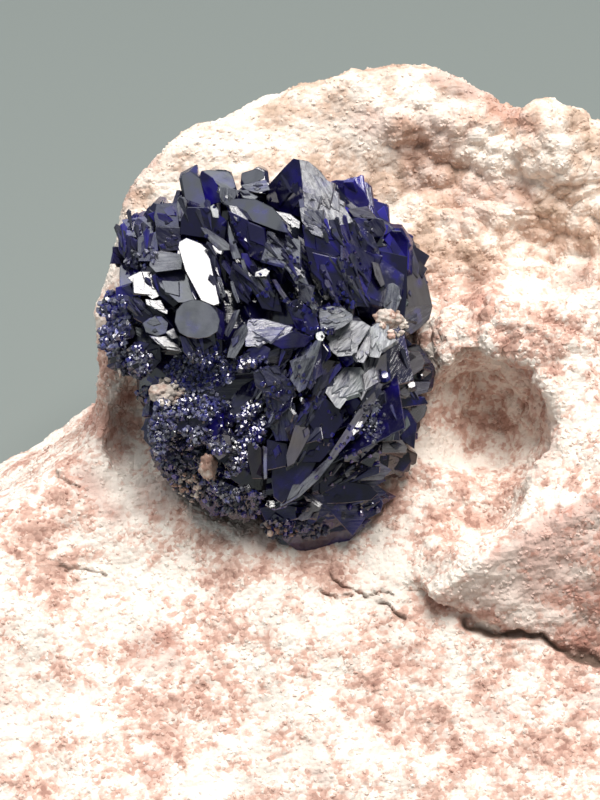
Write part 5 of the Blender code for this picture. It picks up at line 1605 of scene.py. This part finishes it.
def crusts(growth, surface, chance):
    """Stubby blades that stand on the large crystals in crowded patches."""
    for middle, radii, count, size, tone in CRUSTS:
        for _ in range(count):
            reach, turn = math.sqrt(chance.random()), chance.uniform(0.0, 2.0 * math.pi)
            across = middle[0] + reach * radii[0] * math.cos(turn)
            up = middle[1] + reach * radii[1] * math.sin(turn)
            root, normal = sight_meets(surface, across, up)
            if root is None:
                continue
            lean = normal + 0.6 * facing(chance.uniform(-1, 1), chance.uniform(-1, 1), 0.6)
            lean /= np.linalg.norm(lean)
            long, wide = size * chance.uniform(0.7, 1.5), size * chance.uniform(0.5, 1.2)
            side = np.cross(lean, facing(chance.uniform(-1, 1), chance.uniform(-1, 1), 0.3))
            centre, length, axes = frame_of(root + 0.6 * long * lean, root - 0.4 * long * lean, side)
            points = corners_between(blade(length, wide, wide * chance.uniform(0.3, 0.8), chance.uniform(-1, 1)))
            shade = tone if chance.random() < 0.55 else chance.choice((VIOLET, ROYAL, AZURE, SLATE))
            growth.add(points, centre, axes, shade, chance, 0.0, 0.3, 0.5)


def rosette(chance):
    """Every azurite crystal, gathered."""
    growth = Growth()
    growth.add(lump((0.0, -0.2, -1.2), (8.2, 9.0, 6.0), 7), np.zeros(3), np.eye(3), INK, chance)
    for row in CRYSTALS:
        sunk = [(*end[:2], end[2] - SUNK) for end in row[1:3]]
        (stack if row[0] in SHEETS_OF else bundle)(growth, (row[0], *sunk, *row[3:]), chance)
    for row in FACES:
        if row[1] < CLEAN_LAYER:
            face_crystal(growth, row, chance)
    short_blades(growth, chance)
    splinters(growth, growth.surface(), chance)
    for row in FACES:
        if row[1] >= CLEAN_LAYER:
            face_crystal(growth, row, chance)
    surface = growth.surface()
    crusts(growth, surface, chance)
    sparks(growth, surface, chance)
    return growth


# Sandstone caught between the crystals: node, place, radii
CRUMBS = (
    ("sandstone_crumb_right", (7.4, 1.9, 4.4), (0.8, 0.5, 0.6)),
    ("sandstone_crumb_foot", (-3.4, -7.0, 4.6), (0.45, 0.7, 0.5)),
    ("sandstone_crumb_left", (-6.1, -2.6, 3.6), (0.75, 0.5, 0.6)),
)


def crumb_mesh(name, place, radii, seed):
    """A crumb as a knot of grains on the rough ball that the solids have."""
    shape = bmesh.new()
    bmesh.ops.create_icosphere(shape, subdivisions=5, radius=1.0)
    points = np.array([corner.co for corner in shape.verts])
    rough = 1.0 + 0.16 * noise(points * 3.0, 1.0, seed)
    sized = points * rough[:, None] * np.array(radii)
    knobs = 0.12 * nodules(sized + 10.0 * seed, 0.36, 41) + 0.03 * noise(sized, 0.15, 42)
    sized += points * knobs[:, None]
    placed = spot(*place) + sized[:, :1] * ACROSS + sized[:, 1:2] * UP_FACE + sized[:, 2:] * OUT
    for corner, at in zip(shape.verts, placed):
        corner.co = at * MM
    bmesh.ops.recalc_face_normals(shape, faces=shape.faces[:])
    mesh = bpy.data.meshes.new(name)
    shape.to_mesh(mesh)
    shape.free()
    return mesh


# Loose grains lying on the crystals: middle (across, up), radii, how many
LOOSE_GRAINS = (
    ((-5.8, -2.5), (1.0, 0.8), 60),
    ((-3.2, -7.1), (0.4, 0.8), 20),
    ((-4.6, -7.7), (0.6, 0.25), 12),
    ((-4.6, -8.5), (1.0, 0.7), 26),
    ((7.6, 1.5), (0.9, 0.8), 30),
    ((-9.0, -1.6), (0.9, 0.6), 10),
    ((0.8, -10.9), (1.4, 0.4), 12),
)


def loose_grains(surface, chance):
    """Grains of sand that lie on the crystals in small drifts."""
    shape = bmesh.new()
    tint = shape.verts.layers.float.new("tint")
    for middle, radii, count in LOOSE_GRAINS:
        for _ in range(count):
            reach, turn = math.sqrt(chance.random()), chance.uniform(0.0, 2.0 * math.pi)
            across = middle[0] + reach * radii[0] * math.cos(turn)
            up = middle[1] + reach * radii[1] * math.sin(turn)
            root, normal = sight_meets(surface, across, up)
            if root is None:
                continue
            made = bmesh.ops.create_icosphere(shape, subdivisions=1, radius=chance.uniform(0.1, 0.22))
            shade, squash = chance.random(), [chance.uniform(0.6, 1.3) for _ in range(3)]
            for corner in made["verts"]:
                corner[tint] = shade
                chip = np.array(corner.co) * squash * chance.uniform(0.72, 1.25)
                corner.co = Vector(root + 0.04 * normal + chip) * MM
    mesh = bpy.data.meshes.new("loose_grains")
    shape.to_mesh(mesh)
    shape.free()
    return mesh


def add_node(tree, kind, settings, sockets):
    """A node with its settings, and its inputs set or joined by name or number."""
    made = tree.nodes.new(kind)
    for name, value in settings.items():
        setattr(made, name, value)
    for name, value in sockets.items():
        if isinstance(value, bpy.types.NodeSocket):
            tree.links.new(value, made.inputs[name])
        else:
            made.inputs[name].default_value = value
    return made


def grain_tree(finish):
    """Sand grains on a surface, as many as the named density says; returns the tree and its inputs."""
    tree = bpy.data.node_groups.new("sand_grains", "GeometryNodeTree")
    sockets = {}
    for name, kind in (("Surface", "Geometry"), ("Density", "String"), ("Radius", "Float"), ("Seed", "Int")):
        sockets[name] = tree.interface.new_socket(name, in_out="INPUT", socket_type=f"NodeSocket{kind}").identifier
    tree.interface.new_socket("Grains", in_out="OUTPUT", socket_type="NodeSocketGeometry")
    given = tree.nodes.new("NodeGroupInput").outputs
    density = add_node(tree, "GeometryNodeInputNamedAttribute", {"data_type": "FLOAT"}, {"Name": given["Density"]})
    sown = add_node(
        tree,
        "GeometryNodeDistributePointsOnFaces",
        {},
        {"Mesh": given["Surface"], "Density": density.outputs[0], "Seed": given["Seed"]},
    )
    depth = add_node(tree, "ShaderNodeMath", {"operation": "MULTIPLY"}, {0: given["Radius"], 1: -0.52})
    sink = add_node(
        tree, "ShaderNodeVectorMath", {"operation": "SCALE"}, {0: sown.outputs["Normal"], "Scale": depth.outputs[0]}
    )
    sunk = add_node(tree, "GeometryNodeSetPosition", {}, {"Geometry": sown.outputs["Points"], "Offset": sink.outputs[0]})
    turn = add_node(
        tree, "FunctionNodeRandomValue", {"data_type": "FLOAT_VECTOR"}, {0: (0, 0, 0), 1: (6.3, 6.3, 6.3), "Seed": 1}
    )
    size = add_node(
        tree,
        "FunctionNodeRandomValue",
        {"data_type": "FLOAT_VECTOR"},
        {0: (0.62, 0.62, 0.62), 1: (1.35, 1.35, 1.35), "Seed": 2},
    )
    scale = add_node(
        tree, "ShaderNodeVectorMath", {"operation": "SCALE"}, {0: size.outputs[0], "Scale": given["Radius"]}
    )
    grain = add_node(tree, "GeometryNodeMeshIcoSphere", {}, {"Radius": 1.0, "Subdivisions": 1})
    placed_grains = add_node(
        tree,
        "GeometryNodeInstanceOnPoints",
        {},
        {
            "Points": sunk.outputs[0],
            "Instance": grain.outputs["Mesh"],
            "Rotation": turn.outputs[0],
            "Scale": scale.outputs[0],
        },
    )
    shade = add_node(tree, "FunctionNodeRandomValue", {"data_type": "FLOAT"}, {2: 0.0, 3: 1.0, "Seed": 3})
    tinted = add_node(
        tree,
        "GeometryNodeStoreNamedAttribute",
        {"data_type": "FLOAT", "domain": "INSTANCE"},
        {"Geometry": placed_grains.outputs[0], "Name": "tint", "Value": shade.outputs[1]},
    )
    whole = add_node(tree, "GeometryNodeRealizeInstances", {}, {"Geometry": tinted.outputs[0]})
    coated = add_node(
        tree, "GeometryNodeSetMaterial", {}, {"Geometry": whole.outputs[0], "Material": finish}
    )
    end = tree.nodes.new("NodeGroupOutput")
    tree.links.new(coated.outputs[0], end.inputs[0])
    return tree, sockets


def grains_on(bed, name, density, radius, seed, tree, sockets):
    """The grains that the tree sows on a mesh, as a plain mesh of their own."""
    carrier = bpy.data.objects.new(f"{name}_bed", bed)
    bpy.context.scene.collection.objects.link(carrier)
    sower = carrier.modifiers.new("sand_grains", "NODES")
    sower.node_group = tree
    sower[sockets["Density"]] = density
    sower[sockets["Radius"]] = radius * MM
    sower[sockets["Seed"]] = seed
    view = bpy.context.evaluated_depsgraph_get()
    grains = bpy.data.meshes.new_from_object(carrier.evaluated_get(view))
    grains.name = name
    bpy.data.objects.remove(carrier)
    return grains


def mixed(tree, factor, first, second, blend="MIX"):
    """Two colours blended by a factor."""
    made = add_node(
        tree, "ShaderNodeMix", {"data_type": "RGBA", "blend_type": blend}, {0: factor, 6: first, 7: second}
    )
    return made.outputs[2]


def sum_of(tree, parts):
    """The weighted sum of (socket, weight) pairs."""
    total = None
    for socket, weight in parts:
        part = add_node(tree, "ShaderNodeMath", {"operation": "MULTIPLY"}, {0: socket, 1: weight}).outputs[0]
        if total is not None:
            part = add_node(tree, "ShaderNodeMath", {"operation": "ADD"}, {0: total, 1: part}).outputs[0]
        total = part
    return total


def ramp(tree, factor, stops):
    """A colour read off a row of (place, colour) stops."""
    made = add_node(tree, "ShaderNodeValToRGB", {}, {"Fac": factor})
    row = made.color_ramp.elements
    while len(row) < len(stops):
        row.new(0.5)
    for stop, (place, colour) in zip(row, stops):
        stop.position = place
        stop.color = (*colour, 1.0)
    return made.outputs["Color"]


def noise_at(tree, where, scale, detail, roughness=0.55):
    settings = {"Vector": where, "Scale": scale, "Detail": detail, "Roughness": roughness}
    return add_node(tree, "ShaderNodeTexNoise", {}, settings).outputs["Fac"]


def scaled(tree, value, low, high, to_low=0.0, to_high=1.0):
    ends = {"Value": value, "From Min": low, "From Max": high, "To Min": to_low, "To Max": to_high}
    return add_node(tree, "ShaderNodeMapRange", {}, ends).outputs["Result"]


def new_finish(name):
    material = bpy.data.materials.new(name)
    material.use_nodes = True
    return material, material.node_tree, material.node_tree.nodes["Principled BSDF"]


CREAM = (0.88, 0.79, 0.71)
PINK = (0.66, 0.43, 0.35)
RED_BROWN = (0.37, 0.205, 0.16)
STAIN_AND_SHADE = (0.42, 0.17, 0.125)
BEIGE = (0.88, 0.775, 0.685)
TAN = (0.64, 0.47, 0.37)
BROWN = (0.40, 0.28, 0.20)


def sandstone_finish(name, grains):
    """Granular sandstone, pink and cream below and beige above; loose grains take their shade from their tint."""
    material, tree, surface = new_finish(name)
    where = tree.nodes.new("ShaderNodeTexCoord").outputs["Object"]
    weathering_and_shade = add_node(tree, "ShaderNodeAttribute", {"attribute_name": "weathering_and_shade"}, {})
    parts = add_node(tree, "ShaderNodeSeparateColor", {}, {"Color": weathering_and_shade.outputs["Color"]}).outputs
    if grains:
        grain = add_node(tree, "ShaderNodeAttribute", {"attribute_name": "tint"}, {}).outputs["Fac"]
    else:
        cells = add_node(tree, "ShaderNodeTexVoronoi", {}, {"Vector": where, "Scale": 3300.0})
        grain = add_node(tree, "ShaderNodeSeparateColor", {}, {"Color": cells.outputs["Color"]}).outputs[0]
    blotch = noise_at(tree, where, 210.0, 3.0, 0.55)
    mottle = noise_at(tree, where, 620.0, 4.0, 0.65)
    shade = sum_of(tree, ((blotch, 0.4), (mottle, 0.5), (grain, 0.1)))
    below = ramp(tree, shade, ((0.36, RED_BROWN), (0.45, PINK), (0.53, CREAM)))
    soft = sum_of(tree, ((blotch, 0.6), (mottle, 0.35), (grain, 0.05)))
    above = ramp(tree, soft, ((0.36, BROWN), (0.45, TAN), (0.54, BEIGE)))
    colour = mixed(tree, parts[0], below, above)
    stain_and_shade = add_node(tree, "ShaderNodeMath", {"operation": "MULTIPLY"}, {0: parts[1], 1: 0.6}).outputs[0]
    colour = mixed(tree, stain_and_shade, colour, (*STAIN_AND_SHADE, 1.0))
    painted_shade = sum_of(tree, ((parts[2], 0.7), (weathering_and_shade.outputs["Alpha"], 0.24 if grains else 0.42)))
    colour = mixed(tree, painted_shade, colour, (0.12, 0.075, 0.055, 1.0))
    tree.links.new(colour, surface.inputs["Base Color"])
    surface.inputs["Roughness"].default_value = 0.6 if grains else 0.92
    fine = noise_at(tree, where, 5200.0, 3.0, 0.7)
    coarse = noise_at(tree, where, 1800.0, 2.0)
    packed = add_node(tree, "ShaderNodeTexVoronoi", {}, {"Vector": where, "Scale": 3300.0}).outputs["Distance"]
    height = sum_of(tree, ((fine, 0.4), (coarse, 0.8), (packed, -0.9)))
    bump = add_node(tree, "ShaderNodeBump", {}, {"Strength": 0.8, "Distance": 0.00009, "Height": height})
    tree.links.new(bump.outputs[0], surface.inputs["Normal"])
    return material


def azurite_finish():
    """Glassy dark blue: each crystal keeps its tone, with royal blue windows, striated faces and dull patches."""
    material, tree, surface = new_finish("azurite")
    growth = add_node(tree, "ShaderNodeAttribute", {"attribute_name": "growth"}, {}).outputs["Vector"]
    given = add_node(tree, "ShaderNodeAttribute", {"attribute_name": "tone"}, {}).outputs
    tone, striated = given["Color"], given["Alpha"]
    frost = add_node(tree, "ShaderNodeAttribute", {"attribute_name": "frost"}, {}).outputs["Fac"]
    cloud = noise_at(tree, growth, 0.45, 3.0)
    window = scaled(tree, cloud, 0.52, 0.72, 0.0, 0.85)
    colour = mixed(tree, window, tone, (*ROYAL, 1.0))
    deep = scaled(tree, noise_at(tree, growth, 0.38, 2.0), 0.4, 0.62, 0.85, 0.0)
    colour = mixed(tree, deep, colour, (*INK, 1.0))
    along = add_node(tree, "ShaderNodeMapping", {}, {"Vector": growth, "Scale": (0.35, 7.0, 7.0)}).outputs[0]
    streaky = add_node(tree, "ShaderNodeMapping", {}, {"Vector": growth, "Scale": (0.9, 5.0, 5.0)}).outputs[0]
    crust = scaled(tree, noise_at(tree, streaky, 1.0, 4.0, 0.65), 0.38, 0.66, 0.0, 1.3)
    crust = add_node(tree, "ShaderNodeMath", {"operation": "MULTIPLY"}, {0: crust, 1: frost}).outputs[0]
    colour = mixed(tree, crust, colour, (*RIME, 1.0))
    tree.links.new(colour, surface.inputs["Base Color"])
    dull = scaled(tree, noise_at(tree, growth, 1.6, 4.0), 0.45, 0.75, 0.05, 0.22)
    dull = sum_of(tree, ((dull, 1.0), (frost, 0.4)))
    tree.links.new(dull, surface.inputs["Roughness"])
    surface.inputs["IOR"].default_value = 1.76
    surface.inputs["Transmission Weight"].default_value = 0.15
    striae = noise_at(tree, along, 1.0, 3.0, 0.6)
    steps = add_node(tree, "ShaderNodeTexVoronoi", {"feature": "F1"}, {"Vector": growth, "Scale": 1.1})
    pits = noise_at(tree, growth, 9.0, 2.0)
    height = sum_of(tree, ((striae, 0.7), (steps.outputs["Distance"], 0.3), (pits, 0.15)))
    height = add_node(tree, "ShaderNodeMath", {"operation": "MULTIPLY"}, {0: height, 1: striated}).outputs[0]
    waves = noise_at(tree, growth, 0.7, 1.0)
    crinkle = add_node(tree, "ShaderNodeMath", {"operation": "MULTIPLY"}, {0: crust, 1: 0.8}).outputs[0]
    height = sum_of(tree, ((height, 0.6), (waves, 0.7), (crinkle, 0.8)))
    bump = add_node(tree, "ShaderNodeBump", {}, {"Strength": 0.6, "Distance": 0.00009, "Height": height})
    tree.links.new(bump.outputs[0], surface.inputs["Normal"])
    return material


def looking(place, target, up):
    """World placement of something at place that looks along its own -Z at the target."""
    back = (place - target) / np.linalg.norm(place - target)
    right = np.cross(up, back)
    right /= np.linalg.norm(right)
    turned = Matrix(np.stack([right, np.cross(back, right), back], axis=1).tolist()).to_4x4()
    return Matrix.Translation(Vector(place * MM)) @ turned


def add_camera():
    """The photograph's view: level with the show face, with the frame's height at the rosette's distance."""
    camera = bpy.data.cameras.new("view")
    camera.sensor_width = SENSOR
    camera.lens = SENSOR * VIEW_DISTANCE / FRAME_HEIGHT
    camera.clip_start = 0.001
    camera.clip_end = 20.0
    holder = bpy.data.objects.new("view", camera)
    bpy.context.scene.collection.objects.link(holder)
    target = ROSETTE_CENTRE + FRAME_MIDDLE[0] * ACROSS + FRAME_MIDDLE[1] * UP_FACE
    holder.matrix_world = looking(ROSETTE_CENTRE + VIEW_DISTANCE * OUT, target, UP_FACE)
    bpy.context.scene.camera = holder


# Lights: name, direction (across, up, out), distance, width, watts, colour
LIGHTS = (
    ("key", (0.15, 0.78, 0.62), 350.0, 210.0, 1.75, (1.0, 0.965, 0.925)),
    ("ceiling", (-0.25, 0.97, 0.1), 500.0, 440.0, 0.6, (0.95, 0.98, 1.0)),
    ("ceiling middle", (-0.3, 0.9, 0.2), 480.0, 200.0, 0.14, (0.95, 0.98, 1.0)),
    ("window", (-0.9, 0.3, 0.45), 500.0, 260.0, 0.2, (0.92, 0.97, 1.0)),
    ("window middle", (-0.86, 0.26, 0.5), 480.0, 120.0, 0.02, (0.92, 0.97, 1.0)),
    ("card", (0.85, 0.35, 0.4), 500.0, 240.0, 0.12, (1.0, 0.93, 0.88)),
)


def add_lights():
    for name, direction, distance, width, watts, colour in LIGHTS:
        lamp = bpy.data.lights.new(name, "AREA")
        lamp.shape = "DISK"
        lamp.size = width * MM
        lamp.energy = watts
        lamp.color = colour
        holder = bpy.data.objects.new(name, lamp)
        bpy.context.scene.collection.objects.link(holder)
        place = ROSETTE_CENTRE + distance * facing(*direction)
        holder.matrix_world = looking(place, ROSETTE_CENTRE, OUT)
    world = bpy.data.worlds.new("studio")
    world.use_nodes = True
    tree = world.node_tree
    direction = tree.nodes.new("ShaderNodeTexCoord").outputs["Generated"]
    turned = {0: direction, 1: (-0.2, 0.45, 0.87)}
    height = add_node(tree, "ShaderNodeVectorMath", {"operation": "DOT_PRODUCT"}, turned).outputs["Value"]
    sky = tree.nodes["Background"]
    sky.inputs["Color"].default_value = (0.9, 0.98, 1.0, 1.0)
    tree.links.new(scaled(tree, height, -0.1, 0.95, 0.21, 0.5), sky.inputs["Strength"])
    bpy.context.scene.world = world


def add_floor():
    """A plain pale floor that runs far back behind the specimen."""
    mesh = bpy.data.meshes.new("floor")
    reach = 3.0
    corners = [(-reach, -reach, 0.0), (reach, -reach, 0.0), (reach, reach, 0.0), (-reach, reach, 0.0)]
    mesh.from_pydata(corners, [], [(0, 1, 2, 3)])
    material, _, surface = new_finish("floor")
    surface.inputs["Base Color"].default_value = (0.185, 0.208, 0.198, 1.0)
    surface.inputs["Roughness"].default_value = 0.7
    mesh.materials.append(material)
    floor = bpy.data.objects.new("floor", mesh)
    bpy.context.scene.collection.objects.link(floor)


def add_piece(name, mesh, finish, node=None):
    """A finished piece that rides with the specimen, in place of a node of the solids if one is named."""
    if not mesh.materials:
        mesh.materials.append(finish)
    piece = bpy.data.objects.new(name, mesh)
    bpy.context.scene.collection.objects.link(piece)
    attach(piece, "root")
    if node:
        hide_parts(node)
    return piece


def main():
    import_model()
    bpy.context.scene.view_settings.view_transform = "Standard"
    add_camera()
    add_lights()
    add_floor()

    stone, sand, azurite = sandstone_finish("sandstone", False), sandstone_finish("sand", True), azurite_finish()
    rock = rough_rock()
    tree, sockets = grain_tree(sand)
    for number, (name, density, radius) in enumerate(GRAIN_BEDS):
        grains = grains_on(rock, name, density, radius, number, tree, sockets)
        add_piece(name, grains, sand)
    add_piece("rock", rock, stone, "sandstone_matrix")

    chance = random.Random(11)
    growth = rosette(chance)
    add_piece("crystals", growth.mesh("crystals"), azurite, "azurite_rosette")
    add_piece("loose_grains", loose_grains(growth.surface(), chance), sand)
    for number, (node, place, radii) in enumerate(CRUMBS):
        mesh = crumb_mesh(f"{node}_knot", place, radii, number)
        add_piece(f"{node}_knot", mesh, stone, node)


main()
